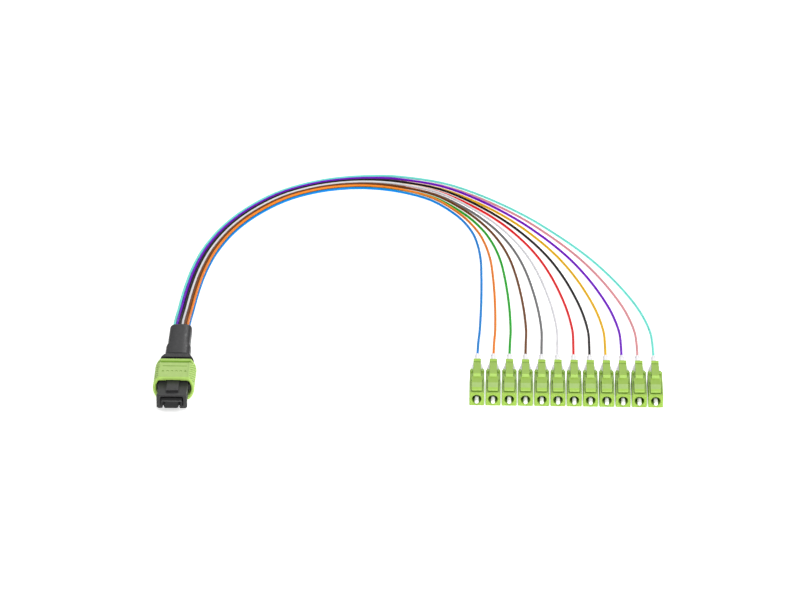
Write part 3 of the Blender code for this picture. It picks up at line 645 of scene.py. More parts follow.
def noise_over(tree, size, detail=2.0, stretch=(1.0, 1.0, 1.0)):
    """Noise in the piece's own coordinates, with blotches of about this size in metres."""
    place = tree.nodes.new("ShaderNodeTexCoord").outputs["Object"]
    scaled = new_node(tree, "ShaderNodeMapping", {"Scale": stretch}, {"Vector": place})
    values = {"Scale": 1.0 / size, "Detail": detail}
    noise = new_node(tree, "ShaderNodeTexNoise", values, {"Vector": scaled.outputs["Vector"]})
    return noise.outputs["Fac"]


def spread(tree, value, low, high, start=0.3, end=0.7):
    """A value from start to end, which noise seldom leaves, drawn out between two levels."""
    values = {"From Min": start, "From Max": end, "To Min": low, "To Max": high}
    return new_node(tree, "ShaderNodeMapRange", values, {"Value": value}).outputs["Result"]


def blend_colours(tree, share, first, second):
    values = {"A": (*first, 1.0), "B": (*second, 1.0)}
    mix = new_node(tree, "ShaderNodeMix", values, {"Factor": share}, data_type="RGBA")
    return mix.outputs["Result"]


def shade_of(colour, share):
    return tuple(min(1.0, value * share) for value in colour)


def mottle(tree, shader, colour, size, change):
    """Slight changes of tone over the surface."""
    share = spread(tree, noise_over(tree, size), 0.0, 1.0)
    mixed = blend_colours(tree, share, shade_of(colour, 1 - change), shade_of(colour, 1 + change))
    tree.links.new(mixed, shader.inputs["Base Color"])


def vary_gloss(tree, shader, size, low, high):
    level = spread(tree, noise_over(tree, size, 3.0), low, high)
    tree.links.new(level, shader.inputs["Roughness"])


def grain(tree, shader, size, depth, stretch=(1.0, 1.0, 1.0)):
    """Fine relief of the tool's surface."""
    height = noise_over(tree, size, 3.0, stretch)
    bump = new_node(
        tree, "ShaderNodeBump", {"Strength": 1.0, "Distance": depth}, {"Height": height}
    )
    tree.links.new(bump.outputs["Normal"], shader.inputs["Normal"])


def worked_finish(name, colour, gloss, tone, shine, relief=None, **levels):
    """A finish whose tone (size, change), gloss (size, low, high) and relief (size, depth) vary."""
    made, tree, shader = new_finish(name, gloss, **levels)
    mottle(tree, shader, colour, *tone)
    vary_gloss(tree, shader, *shine)
    if relief:
        grain(tree, shader, *relief)
    return made


def let_light_in(made, weight, radius):
    """Lets light travel inside a material, for red, green and blue as far as the radius says."""
    shader = made.node_tree.nodes["Principled BSDF"]
    set_inputs(
        shader, {"Subsurface Weight": weight, "Subsurface Radius": radius, "Subsurface Scale": 1.0}
    )


def moulded_plastic(name, colour, gloss, relief, specular):
    shine = (0.5 * MM, gloss - 0.05, gloss + 0.07)
    return worked_finish(name, colour, gloss, (1.6 * MM, 0.035), shine, relief, specular=specular)


def smooth_green(name, colour):
    """Polished moulding, with a faint swim in its surface."""
    return moulded_plastic(name, colour, 0.40, (0.35 * MM, 0.003 * MM), 0.3)


def sparked_green(name, colour):
    """The matt, finely pitted face that a spark-eroded mould leaves; its paler colour is partly a
    painted sheen.
    """
    return moulded_plastic(name, colour, 0.62, (0.09 * MM, 0.012 * MM), 0.4)


def painted_shade_green(name, colour):
    """Painted shade for the inside of grooves and bores: a darker, duller copy of the green."""
    return moulded_plastic(name, colour, 0.6, (0.2 * MM, 0.003 * MM), 0.2)


def housing_black(name, colour):
    return moulded_plastic(name, colour, 0.46, (0.14 * MM, 0.006 * MM), 0.35)


def polished_black(name, colour):
    """The ferrule's front, ground and polished until it mirrors the pins."""
    shine = (0.3 * MM, 0.05, 0.12)
    return worked_finish(name, colour, 0.08, (0.4 * MM, 0.1), shine, specular=0.25)


def boot_rubber(name, colour):
    """Soft black, a little shiny, with faint lines along the mould."""
    shine = (0.8 * MM, 0.30, 0.44)
    relief = (0.16 * MM, 0.006 * MM, (1.0, 0.25, 1.0))
    return worked_finish(name, colour, 0.36, (2.2 * MM, 0.08), shine, relief, specular=0.28)


def ground_steel(name, colour):
    """Ground round and round, so its fine lines run across the pin."""
    shine = (0.3 * MM, 0.14, 0.26)
    relief = (0.2 * MM, 0.0015 * MM, (0.2, 4.0, 0.2))
    return worked_finish(name, colour, 0.2, (0.8 * MM, 0.04), shine, relief, metallic=1.0)


def tip_ceramic(name, colour):
    """White zirconia with the glass core of the fibre as a small grey dot in the middle of its face."""
    made, tree, shader = new_finish(name, 0.12)
    let_light_in(made, 0.15, (0.4 * MM, 0.35 * MM, 0.3 * MM))
    place = tree.nodes.new("ShaderNodeTexCoord").outputs["Object"]
    across = {1: (1.0, 0.0, 1.0)}
    flat = new_node(tree, "ShaderNodeVectorMath", across, {0: place}, operation="MULTIPLY")
    links = {0: flat.outputs["Vector"]}
    reach = new_node(tree, "ShaderNodeVectorMath", {}, links, operation="LENGTH")
    share = spread(tree, reach.outputs["Value"], 0.0, 1.0, 0.055 * MM, 0.07 * MM)
    mixed = blend_colours(tree, share, (0.30, 0.30, 0.32), colour)
    tree.links.new(mixed, shader.inputs["Base Color"])
    vary_gloss(tree, shader, 0.4 * MM, 0.10, 0.18)
    return made


def plated_collar(name, colour):
    shine, relief = (0.3 * MM, 0.24, 0.4), (0.15 * MM, 0.002 * MM)
    return worked_finish(name, colour, 0.3, (0.9 * MM, 0.06), shine, relief, metallic=1.0)


def milky_white(name, colour):
    """Soft white plastic that lets a little light through."""
    shine, relief = (0.6 * MM, 0.24, 0.38), (0.25 * MM, 0.003 * MM)
    made = worked_finish(name, colour, 0.3, (2.0 * MM, 0.02), shine, relief)
    let_light_in(made, 0.25, (0.9 * MM, 0.85 * MM, 1.0 * MM))
    return made


def fibre_jacket(name, colour):
    """Smooth extruded buffer, with a faintly uneven surface."""
    shine, relief = (1.2 * MM, 0.28, 0.40), (0.12 * MM, 0.002 * MM)
    return worked_finish(name, colour, 0.34, (3.0 * MM, 0.05), shine, relief, specular=0.08)


# Fibres


def layer_rise(slot):
    """How far the upper layer lies above the lower one where neighbours are one slot apart."""
    share = slot / (LAYER_REACH * LAYER_PITCH)
    return LAYER_PITCH * math.cos(math.pi / 2 * min(share, 1.0))


def bundle_sections():
    """Inner and outer fibre's place and the lift above the floor rest, at each bundle station."""
    rest = FIBRE_DIAMETER / 2 + layer_rise(TIGHT_SLOT) / 2
    start_y = MULTI.y + BOOT_HIGH.y - BOOT_MOUTH_DEPTH + FIBRE_END_GAP
    line = [(MULTI.x, start_y, MULTI.z - rest, 1.0)]
    line += [(x * MM, y * MM, lift * MM, room) for x, y, lift, room in BUNDLE_ROUTE]
    after = FAN_ROUTE[0]
    ahead = Vector((after[0] + after[2], after[1] + after[3])) / 2 * MM
    spots = [Vector(row[:2]) for row in line] + [ahead]
    sections = []
    for i, (_, _, lift, room) in enumerate(line):
        across = (spots[i + 1] - spots[max(i - 1, 0)]).normalized().orthogonal()
        half = across * room * TIGHT_SLOT * (FIBRES - 1) / 2
        sections.append((spots[i] - half, spots[i] + half, lift))
    return sections


def fan_sections():
    """The same at each station of the fan, which ends in the white boots."""
    sections = [
        (Vector((a, b)) * MM, Vector((c, d)) * MM, lift * MM) for a, b, c, d, lift in FAN_ROUTE
    ]
    end_y = PLUG_FACE.y + TAIL_HIGH.y - TAIL_BORE_DEPTH + FIBRE_END_GAP
    first, last = (Vector((plug_spot(number).x, end_y)) for number in (1, FIBRES))
    sections.append((first, last, PLUG_FACE.z - FIBRE_DIAMETER / 2))
    return sections


def fibre_route(number, sections):
    """The route points of one fibre: odd fibres form the lower layer, even ones the upper."""
    share = (number - 1) / (FIBRES - 1)
    points = []
    for inner, outer, lift in sections:
        spot = inner.lerp(outer, share)
        slot = (outer - inner).length / (FIBRES - 1)
        upper = layer_rise(slot) if number % 2 == 0 else 0.0
        points.append(Vector((*spot, FIBRE_DIAMETER / 2 + lift + upper)))
    return points


def smooth_line(points):
    """Points along a smooth curve through the route's own points."""
    ends = [2 * points[0] - points[1]] + points + [2 * points[-1] - points[-2]]
    line = []
    for before, start, end, after in zip(ends, ends[1:], ends[2:], ends[3:]):
        for step in range(POINTS_PER_SPAN):
            t = step / POINTS_PER_SPAN
            swing = (2 * before - 5 * start + 4 * end - after) * t * t
            swing += (3 * start - before - 3 * end + after) * t**3
            line.append(start + ((end - before) * t + swing) / 2)
    line.append(points[-1])
    for point in line:
        point.z = max(point.z, FIBRE_DIAMETER / 2)
    return line


def add_fibre(number, sections, colours):
    colour_name = FIBRE_NAMES[number - 1]
    line = smooth_line(fibre_route(number, sections))
    name = f"fibre_{number:02d}_jacket"
    data = bpy.data.curves.new(name, "CURVE")
    data.dimensions = "3D"
    data.bevel_depth = FIBRE_DIAMETER / 2
    data.bevel_resolution = 5
    data.use_fill_caps = True
    spline = data.splines.new("POLY")
    spline.points.add(len(line) - 1)
    for point, spot in zip(spline.points, line):
        point.co = (*spot, 1.0)
    spline.use_smooth = True
    item = loose_object(name, data)
    coat(item, fibre_jacket(f"{colour_name} fibre", getattr(colours, colour_name)))
    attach(item, CABLE)
    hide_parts(f"fibre_{number:02d}_{colour_name}")
    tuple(line[0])
    sum((end - start).length for start, end in zip(line, line[1:]))


# Twelve-fibre plug, in its own frame: origin in the middle of the sleeve's front face


def diamond_height(around, along, pitch):
    """Height of the diamond knurl, 0 in its crossing grooves and 1 on its flats."""
    first = (around + along / KNURL_STRETCH) / pitch
    second = (around - along / KNURL_STRETCH) / pitch
    to_groove = min(abs(first - round(first)), abs(second - round(second)))
    return min(1.0, to_groove * KNURL_RISE)


def round_side(z):
    """Distance round the sleeve's bowed side from its middle to a height."""
    return SLEEVE_SIDE_RADIUS * math.asin(z / SLEEVE_SIDE_RADIUS)


def sleeve_stations(sizes):
    """Places along the sleeve where its skin has a ring of points."""
    long = SLEEVE_SIZE.y
    front, rear = sizes.sleeve_rounding, sizes.rear_rounding
    bends = [1 - math.cos(turn) for turn in QUARTER]
    ends = [front * bend for bend in bends] + [long - rear * bend for bend in bends]
    step = sizes.knurl_pitch / sizes.diamond_steps
    inner = [front + step * i for i in range(1, int((long - front - rear) / step))]
    band = long - sizes.rear_band
    foot = band - GROOVE_WALL
    walls = (sizes.front_band, band, foot, foot - sizes.rear_groove)
    pairs = [wall + side for wall in walls for side in (-WALL_STEP, WALL_STEP)]
    return sorted(ends + inner + pairs)


def sleeve_rim(sizes):
    """Points round the sleeve: x, z, outward x and z, and the distance round a bowed side or None."""
    radius = SLEEVE_SIDE_RADIUS
    centre = SLEEVE_SIZE.x / 2 - radius
    reach = math.asin(SLEEVE_TOP / radius)
    step = sizes.knurl_pitch / sizes.diamond_steps
    steps = 2 * int(reach * radius / step) + 2
    half = []
    for i in range(steps + 1):
        turn = reach * (2 * i / steps - 1)
        out_x, out_z = math.cos(turn), math.sin(turn)
        half.append((centre + radius * out_x, radius * out_z, out_x, out_z, radius * turn))
    edge = sizes.panel_width / 2
    right = [edge + WALL_STEP, edge - WALL_STEP, edge / 2]
    across = right + [0.0] + [-x for x in reversed(right)]
    half_flat = centre + radius * math.cos(reach)
    half += [(x, SLEEVE_TOP, 0.0, 1.0, None) for x in across if abs(x) < half_flat]
    return half + [(-x, -z, -out_x, -out_z, far) for x, z, out_x, out_z, far in half]


def end_inset(sizes, along):
    """How far the rounded ends draw the sleeve's skin in."""
    ends = ((along, sizes.sleeve_rounding), (SLEEVE_SIZE.y - along, sizes.rear_rounding))
    for near, rounding in ends:
        if near < rounding:
            return rounding - math.sqrt(max(0.0, rounding**2 - (rounding - near) ** 2))
    return 0.0


def top_inset(sizes, x, along):
    """How far the flat top and underside are sunk: the panel, its groove and the sloping rear band."""
    if along < sizes.front_band:
        return 0.0
    sunk = sizes.panel_depth if abs(x) < sizes.panel_width / 2 else 0.0
    slope, deep = sizes.rear_band_slope, sizes.rear_groove_depth
    back = SLEEVE_SIZE.y - along
    foot = sizes.rear_band + GROOVE_WALL
    if back < sizes.rear_band:
        return slope * back / sizes.rear_band
    if back < foot:
        return slope + (deep - slope) * (back - sizes.rear_band) / GROOVE_WALL
    if back < foot + sizes.rear_groove:
        return deep + (sunk - deep) * (back - foot) / sizes.rear_groove
    return sunk


def sleeve_inset(sizes, x, far, along):
    """How far the flat faces' relief or the knurl lies below the sleeve's skin."""
    if far is None:
        return top_inset(sizes, x, along)
    ahead = along - sizes.front_band
    behind = SLEEVE_SIZE.y - sizes.rear_band - along
    margin = min(round_side(SLEEVE_TOP) - abs(far), ahead, behind) / KNURL_FADE
    fade = max(0.0, min(1.0, margin))
    return fade * sizes.knurl_depth * (1 - diamond_height(far, along, sizes.knurl_pitch))


def sleeve_skin(sizes):
    """The sleeve's outside."""
    rim = sleeve_rim(sizes)
    rings = []
    for along in sleeve_stations(sizes):
        ends = end_inset(sizes, along)
        line = []
        for x, z, out_x, out_z, far in rim:
            inset = ends + sleeve_inset(sizes, x, far, along)
            line.append((x - out_x * inset, along, z - out_z * inset))
        rings.append(line)
    return skin("sleeve_skin", rings)


def shade_sleeve(data, sizes):
    """Gives the sparked finish between the bands, and a darker green, painted shade, to the knurl's and
    rear grooves.
    """
    rear = SLEEVE_SIZE.y - sizes.rear_band
    groove = rear - GROOVE_WALL - sizes.rear_groove
    for face in data.polygons:
        _, y, z = face.center
        if sizes.front_band < y < rear:
            on_side = abs(z) < SLEEVE_TOP - sizes.panel_depth
            height = diamond_height(round_side(z), y, sizes.knurl_pitch)
            in_knurl = on_side and height < KNURL_SHADE
            in_groove = y > groove and abs(z) > SLEEVE_TOP - sizes.rear_groove_depth
            face.material_index = PAINTED_SHADE if in_knurl or in_groove else SPARKED


def sleeve_bore():
    """Cutter for the sleeve's bore, with its stepped and countersunk front."""
    width = SLEEVE_SIZE.x - 2 * SLEEVE_WALL
    height = SLEEVE_SIZE.z - 2 * SLEEVE_TOP_WALL
    stations = [(y * MM, grow * MM) for y, grow in BORE_FRONT]
    stations += [(SLEEVE_SIZE.y + y * MM, grow * MM) for y, grow in BORE_REAR]
    return lofted("sleeve_bore", stations, lambda grow: bowed_outline(width, height, 24, grow))


def sleeve_marks(sleeve, sizes):
    """Sinks a thin line and a row of plain pull arrows into the panel on top, and paints shade on their
    sunk faces.
    """
    panel = SLEEVE_TOP - sizes.panel_depth
    floor = panel - MARK_DEPTH
    line = slot_outline(LINE_LENGTH, LINE_WIDTH, 6)
    cut(sleeve, plan_prism("panel_line", line, (0.0, LINE_PLACE, floor), CUT_PAST))
    side, foot, tip = ARROW_SIDE, ARROW_FOOT, ARROW_TIP
    solid = [(-side, foot), (side, foot), (0.0, tip)]
    bent = [(-side, foot), (0.0, tip - ARROW_STROKE), (side, foot)]
    bent += [(side, foot + ARROW_STROKE), (0.0, tip), (-side, foot + ARROW_STROKE)]
    for i in range(ARROWS):
        arrow = solid if i in (0, ARROWS - 1) else bent
        x = (i - (ARROWS - 1) / 2) * ARROW_PITCH
        cut(sleeve, plan_prism("pull_arrow", arrow, (x, 0.0, floor), CUT_PAST))
    # Painted shade: the marks' sunk faces get the darker green
    for face in sleeve.data.polygons:
        x, y, z = face.center
        in_panel = abs(x) < sizes.panel_width / 2 and MARKS_START < y < MARKS_END
        if in_panel and floor - MERGE_DISTANCE < z < panel - SUNK:
            face.material_index = PAINTED_SHADE


def add_sleeve(sizes, colours):
    sleeve = sleeve_skin(sizes)
    coat(
        sleeve,
        smooth_green("sleeve green", colours.sleeve),
        sparked_green("sleeve green sparked", colours.sleeve_matt),
        painted_shade_green("sleeve green groove", colours.sleeve_groove),
    )
    shade_sleeve(sleeve.data, sizes)
    cut(sleeve, sleeve_bore())
    side = KEY_WIDTH / 2 + SLIDE_CLEARANCE
    low = (-side, -CUT_PAST, 0)
    high = (side, SLEEVE_SIZE.y + CUT_PAST, NOSE_HIGH.z + SLIDE_CLEARANCE)
    cut(sleeve, block("keyway", low, high, sizes.edge_rounding))
    sleeve_marks(sleeve, sizes)
    smooth(sleeve, 28)
    dress(sleeve, "pull_sleeve", MULTI, "coupling_sleeve", "mpo_coupling_sleeve")


def nose_length(name, start, end, step, rounding):
    """A length of the nose with its lower corners cut off; step is how far it stands out."""
    side, top, corner = NOSE_SIDE + step, NOSE_TOP + step / 2, NOSE_CORNER
    outline = (
        (side, start, top),
        (-side, start, top),
        (-side, start, corner - top),
        (corner - side, start, -top),
        (side - corner, start, -top),
        (side, start, corner - top),
    )
    return prism(name, outline, Vector((0, end - start, 0)), rounding)


def nose_hollows(rounding):
    """Cutters for the nose: latch recesses, flared mouth, pocket above it and the flange's cavity."""
    front = NOSE_LOW.y
    low = (front + RECESS_START, -RECESS_TOP)
    high = (front + RECESS_END, RECESS_TOP)
    near, far = NOSE_SIDE - RECESS_DEPTH, NOSE_SIDE + CUT_PAST
    yield from side_blocks("latch_recess", near, far, low, high, rounding)
    flange = FERRULE_HIGH.y - FLANGE_LENGTH
    wide, _, high = (FERRULE_HIGH - FERRULE_LOW) / 2
    gap = FERRULE_CLEARANCE
    mouth_width, mouth_height = (2 * (half - FLANGE_STEP + gap) for half in (wide, high))
    stations = (
        (front - CUT_PAST, MOUTH_FLARE),
        (front, MOUTH_FLARE),
        (front + MOUTH_FLARE_LENGTH, 0.0),
        (flange, 0.0),
    )
    yield lofted(
        "mouth",
        stations,
        lambda grow: box_outline(mouth_width + grow, mouth_height + grow, MOUTH_CORNER),
    )
    low = (-MOUTH_POCKET_SIDE, front - CUT_PAST, 0.0)
    top = (MOUTH_POCKET_SIDE, front + MOUTH_POCKET_DEPTH, MOUTH_POCKET_TOP)
    yield block("mouth_pocket", low, top, rounding)
    end = flange + FLANGE_LENGTH + FERRULE_TRAVEL + SLIDE_CLEARANCE
    yield block("cavity", (-wide - gap, flange - gap, -high - gap), (wide + gap, end, high + gap))


def add_housing(sizes, colours):
    """The black nose: its front collar, key, rails, mouth and the cavity behind the ferrule's flange."""
    front, rear = NOSE_LOW.y, NOSE_HIGH.y
    rounding = sizes.edge_rounding
    housing = nose_length("nose", front + FRAME_LENGTH / 2, rear, 0.0, rounding)
    add(housing, nose_length("nose_frame", front, front + FRAME_LENGTH, FRAME_STEP, rounding))
    low = (-KEY_WIDTH / 2, front + KEY_SETBACK, 0.0)
    high = (KEY_WIDTH / 2, rear - KEY_END, NOSE_TOP + KEY_HEIGHT)
    add(housing, block("key", low, high, rounding))
    low = (-NOSE_HIGH.x, RAIL_START, -RAIL_HEIGHT / 2)
    high = (NOSE_HIGH.x, rear - GLUE_GAP, RAIL_HEIGHT / 2)
    add(housing, block("rails", low, high, rounding))
    for hollow in nose_hollows(rounding):
        cut(housing, hollow)
    smooth(housing)
    coat(housing, housing_black("housing black", colours.housing))
    dress(housing, "plug_nose", MULTI, CABLE, "mpo_inner_housing")


def add_multi_ferrule(colours):
    """The black ferrule, with a chamfered mouth at each pin and a row of twelve fine fibre holes."""
    front, back = FERRULE_LOW.y, FERRULE_HIGH.y
    size = FERRULE_HIGH - FERRULE_LOW
    step = 2 * FLANGE_STEP
    stations = (
        (front, -step - 2 * FERRULE_EDGE),
        (front + FERRULE_EDGE, -step),
        (back - FLANGE_LENGTH, -step),
        (back - FLANGE_LENGTH, 0.0),
        (back, 0.0),
    )
    ferrule = lofted(
        "ferrule", stations, lambda grow: box_outline(size.x + grow, size.z + grow, FERRULE_CORNER)
    )
    hole = PIN_RADIUS + PIN_HOLE_CLEARANCE
    deep = PIN_HIGH.y + SLIDE_CLEARANCE
    for x in (-PIN_X, PIN_X):
        cut(ferrule, drill("pin_hole", hole, front, deep, PIN_HOLE_FLARE, 32, x))
    deep = front + FIBRE_HOLE_DEPTH
    for i in range(FIBRES):
        x = (i - (FIBRES - 1) / 2) * FIBRE_HOLE_PITCH
        cut(ferrule, drill("fibre_hole", FIBRE_HOLE_RADIUS, front, deep, steps=12, x=x))
    smooth(ferrule)
    coat(
        ferrule,
        housing_black("ferrule resin", colours.resin),
        polished_black("ferrule face", colours.polished),
    )
    coat_between(ferrule.data, front - CUT_PAST, front + FERRULE_EDGE / 2)
    dress(ferrule, "plug_ferrule", MULTI, "mpo_ferrule_set", "mpo_ferrule")


def add_guide_pins(colours):
    """The two steel pins with rounded noses."""
    steel = ground_steel("pin steel", colours.steel)
    front, back = PIN_LOW.y, PIN_HIGH.y
    nose = [(math.sin(turn), 1 - math.cos(turn)) for turn in QUARTER]
    profile = [(PIN_RADIUS * out, front + PIN_NOSE * along) for out, along in nose]
    profile += [(PIN_RADIUS, back), (0.0, back)]
    for x, hand in ((-PIN_X, "left"), (PIN_X, "right")):
        pin = turned("pin", profile, 32, x)
        smooth(pin)
        coat(pin, steel)
        dress(pin, f"steel_pin_{hand}", MULTI, "mpo_ferrule_set", f"guide_pin_{hand}")


def add_rear_body(sizes, colours):
    """The black body that the sleeve slides on, with its collar, taper and neck, and a waist ahead of
    the collar painted near-black as shade.
    """
    front, back = REAR_LOW.y, REAR_HIGH.y
    wide, _, high = REAR_HIGH - REAR_LOW
    inside = wide - 2 * REAR_COLLAR
    neck = back - REAR_NECK_LENGTH
    collar = neck - REAR_TAPER_LENGTH
    waist = collar - WAIST_LENGTH
    edge = sizes.edge_rounding
    narrow, low = wide - REAR_SIDE_TAPER, high - REAR_TOP_TAPER
    neck_width, neck_height = narrow - 2 * REAR_NECK_SIDE, low - 2 * REAR_NECK_TOP
    waist_width, waist_height = inside - 2 * WAIST_DEPTH, high - 2 * WAIST_DEPTH
    stations = (
        (front, inside - 2 * edge, high - 2 * edge),
        (front + edge, inside, high),
        (waist, inside, high),
        (waist, waist_width, waist_height),
        (collar, waist_width, waist_height),
        (collar, wide - edge, high),
        (collar + edge, wide - edge / 2, high),
        (neck - edge, narrow + edge, low),
        (neck, narrow - edge, low - edge),
        (neck, neck_width, neck_height),
        (back, neck_width, neck_height),
    )
    body = lofted("rear_body", stations, lambda w, h: bowed_outline(w, h, 16))
    smooth(body)
    coat(
        body,
        housing_black("rear body black", colours.rear),
        housing_black("rear body waist", colours.waist),
    )
    # Painted shade: the waist between its start and the collar gets a near-black copy of the body's
    # black
    coat_between(body.data, waist, collar)
    dress(body, "rear_body", MULTI, CABLE, "mpo_rear_body")


def boot_stations():
    """Places along the boot, with what its width and height gain or lose there."""
    front, back = BOOT_LOW.y, BOOT_HIGH.y
    fall = BOOT_FLARE_LENGTH - BOOT_FLARE_PEAK
    edge, flare, lip = [], [], []
    for turn in QUARTER:
        lost = BOOT_FRONT_EDGE * (1 - math.sin(turn))
        edge.append((front + BOOT_FRONT_EDGE * (1 - math.cos(turn)), BOOT_FLARE - lost, -lost))
        along = front + BOOT_FLARE_PEAK + fall * turn / QUARTER[-1]
        flare.append((along, BOOT_FLARE * (1 + math.cos(2 * turn)) / 2, 0.0))
        lost = BOOT_END_LOSS * (1 - math.cos(turn))
        lip.append((back - BOOT_LIP * (1 - math.sin(turn)), -lost, -lost * BOOT_END_DROP))
    return edge + flare + lip


def add_multi_boot(colours):
    """The soft boot, flared at its front's sides and open where the fibres come out."""
    back = BOOT_HIGH.y
    wide = BOOT_HIGH.x - BOOT_LOW.x - BOOT_FLARE
    high = BOOT_HIGH.z - BOOT_LOW.z
    boot = lofted(
        "boot",
        boot_stations(),
        lambda wider, higher: crowned_outline(wide + wider, high + higher, BOOT_CROWN),
    )
    mouth_width = wide - 2 * BOOT_WALL
    mouth_height = 2 * (FIBRE_DIAMETER + BOOT_MOUTH_ROOM)
    stations = (
        (back - BOOT_MOUTH_DEPTH, 0.0),
        (back - BOOT_MOUTH_EDGE, 0.0),
        (back + CUT_PAST, BOOT_MOUTH_FLARE),
    )
    mouth = lofted(
        "boot_mouth", stations, lambda grow: slot_outline(mouth_width + grow, mouth_height + grow)
    )
    cut(boot, mouth)
    smooth(boot, ROUND_ANGLE)
    coat(boot, boot_rubber("boot rubber", colours.boot))
    dress(boot, "cable_boot", MULTI, CABLE, "mpo_boot")


# Single plugs, each in its own frame: origin in the middle of the plug's front face


def plug_spot(number):
    return PLUG_FACE + Vector(((number - 1) * PLUG_PITCH, 0, 0))


def place_row(item, name, body, node):
    """Puts one shape in place for each single plug; the copies share its mesh."""
    for number in range(1, FIBRES + 1):
        copy = item if number == 1 else loose_object(name, item.data)
        tag = f"{number:02d}"
        dress(copy, f"{name}_{tag}", plug_spot(number), body.format(tag), f"{node}_{tag}")


def latch_outline():
    """Side view of the wide part of the latch arm, from its root at the front of the body."""
    top = BODY_SIDE / 2
    upper = [(LATCH_START + y * LATCH_LENGTH, top + up * LATCH_RISE) for y, up in ARM_TOP]
    return [
        (LATCH_START, top - ARM_ROOT),
        *upper,
        (LATCH_START + LATCH_LENGTH, top + LATCH_RISE - ARM_THICKNESS),
        (LATCH_START + ARM_KNEE[0] * LATCH_LENGTH, top + ARM_KNEE[1] * LATCH_RISE),
        (LATCH_START + ARM_ROOT_END * LATCH_LENGTH, top - ARM_ROOT),
    ]


def tab_outline():
    """Side view of the narrow thumb tab that continues the arm."""
    top = BODY_SIDE / 2
    start = LATCH_START + LATCH_LENGTH - TAB_OVERLAP
    end = start + TAB_LENGTH
    slope_end, lip_foot, lip = (top + share * TAB_RISE for share in TAB_TOP)
    under = top + LATCH_RISE - ARM_THICKNESS
    return [
        (start, top + LATCH_RISE - TAB_OVERLAP / 2),
        (start + TAB_SLOPE, slope_end),
        (end - TAB_LIP - TAB_LIP_STEP, lip_foot),
        (end - TAB_LIP, lip),
        (end, top + TAB_RISE),
        (end, top + TAB_RISE - ARM_THICKNESS),
        (start + TAB_SLOPE, under),
        (start, under),
    ]


def plug_body(sizes):
    """Square body with the sunk bed of its latch, side windows, rear ears and the countersunk bore."""
    half = BODY_SIDE / 2
    rounding = sizes.edge_rounding
    body = block("plug_body", (-half, 0, -half), (half, BODY_LENGTH, half), BODY_ROUNDING, 3)
    start, end = LATCH_START - sizes.root_gap, LATCH_START + LATCH_LENGTH + BED_ROOM
    bed = box_outline(LATCH_WIDTH + 2 * sizes.latch_gap, end - start, BED_CORNER)
    place = (0.0, (start + end) / 2, half - sizes.latch_gap_depth)
    cut(body, plan_prism("latch_bed", bed, place, CUT_PAST))
    low, high = (WINDOW_START, -WINDOW_TOP), (WINDOW_END, WINDOW_TOP)
    near, far = half - WINDOW_DEPTH, half + CUT_PAST
    for window in side_blocks("side_window", near, far, low, high, SMALL_ROUNDING):
        cut(body, window)
    arm = side_prism("latch_arm", latch_outline(), LATCH_WIDTH, rounding)
    long = LATCH_LENGTH + CUT_PAST
    plan = box_outline(LATCH_WIDTH, long, ARM_CORNER)
    place = (0.0, LATCH_START + long / 2, 0.0)
    combine(arm, plan_prism("arm_plan", plan, place, BODY_SIDE), "INTERSECT")
    add(body, arm)
    add(body, side_prism("thumb_tab", tab_outline(), TAB_WIDTH, rounding))
    end = BODY_LENGTH - EAR_SETBACK
    low, high = (end - EAR_LENGTH, 0), (end, half + EAR_HEIGHT)
    outer = half - BODY_ROUNDING
    for ear in side_blocks("rear_ear", outer - EAR_WIDTH, outer, low, high, SMALL_ROUNDING, 3):
        add(body, ear)
    deep = TIP_HIGH.y + TIP_TRAVEL + SLIDE_CLEARANCE
    radius = COLLAR_RADIUS + SLIDE_CLEARANCE
    cut(body, drill("plug_bore", radius, 0.0, deep, sizes.bore_flare))
    return body


def plug_finish(sizes, x, y, z, up):
    """Which finish a face of the plug has, from its middle and how far its normal points up: painted
    shade in the hollows, a painted highlight on up-facing edges.
    """
    half = BODY_SIDE / 2
    root, knee = (LATCH_START + ARM_TOP[i][0] * LATCH_LENGTH for i in (2, 3))
    tab = LATCH_START + LATCH_LENGTH - TAB_OVERLAP
    lip = tab + TAB_LENGTH - TAB_LIP
    groove = LATCH_START - sizes.root_gap - MERGE_DISTANCE
    bore = COLLAR_RADIUS + SLIDE_CLEARANCE + MERGE_DISTANCE
    in_bore = math.hypot(x, z) < bore and y > sizes.bore_flare
    in_groove = groove < y < LATCH_START + MERGE_DISTANCE and half / 2 < z < half - SUNK
    at_lip = lip - TAB_LIP_STEP < y < lip and z > half + LATCH_RISE and up > 0.5
    # Painted shade: the bore, the groove at the arm's root and the dip behind the lip get the darker
    # green
    if in_bore or in_groove or at_lip:
        return PAINTED_SHADE
    in_root = LATCH_START < y < root and z > half
    in_slope = tab < y < tab + TAB_SLOPE and z > half + LATCH_RISE - TAB_OVERLAP
    in_lip = y > lip and z > half
    in_ear = abs(x) > half - BODY_ROUNDING - EAR_WIDTH and z > half + MERGE_DISTANCE
    # Painted highlight: up-facing faces of the root, the tab's slope, the lip and the ears get a lighter
    # green
    if up > 0.3 and (in_root or in_slope or in_lip or in_ear):
        return PAINTED_HIGHLIGHT
    # The ramp's up-facing faces get the sparked green, whose paler colour is partly a painted sheen
    on_ramp = root < y < knee and z > half and up > 0.5
    return SPARKED if on_ramp else PLAIN


def add_plug_bodies(sizes, colours):
    body = plug_body(sizes)
    coat(
        body,
        smooth_green("plug green", colours.plug),
        sparked_green("plug green sparked", colours.plug_matt),
        painted_shade_green("plug green hollows", colours.plug_hollow),
        smooth_green("plug green thin edges", colours.plug_thin),
    )
    smooth(body)
    for face in body.data.polygons:
        face.material_index = plug_finish(sizes, *face.center, face.normal.z)
    place_row(body, "latch_plug", CABLE, "lc_housing")


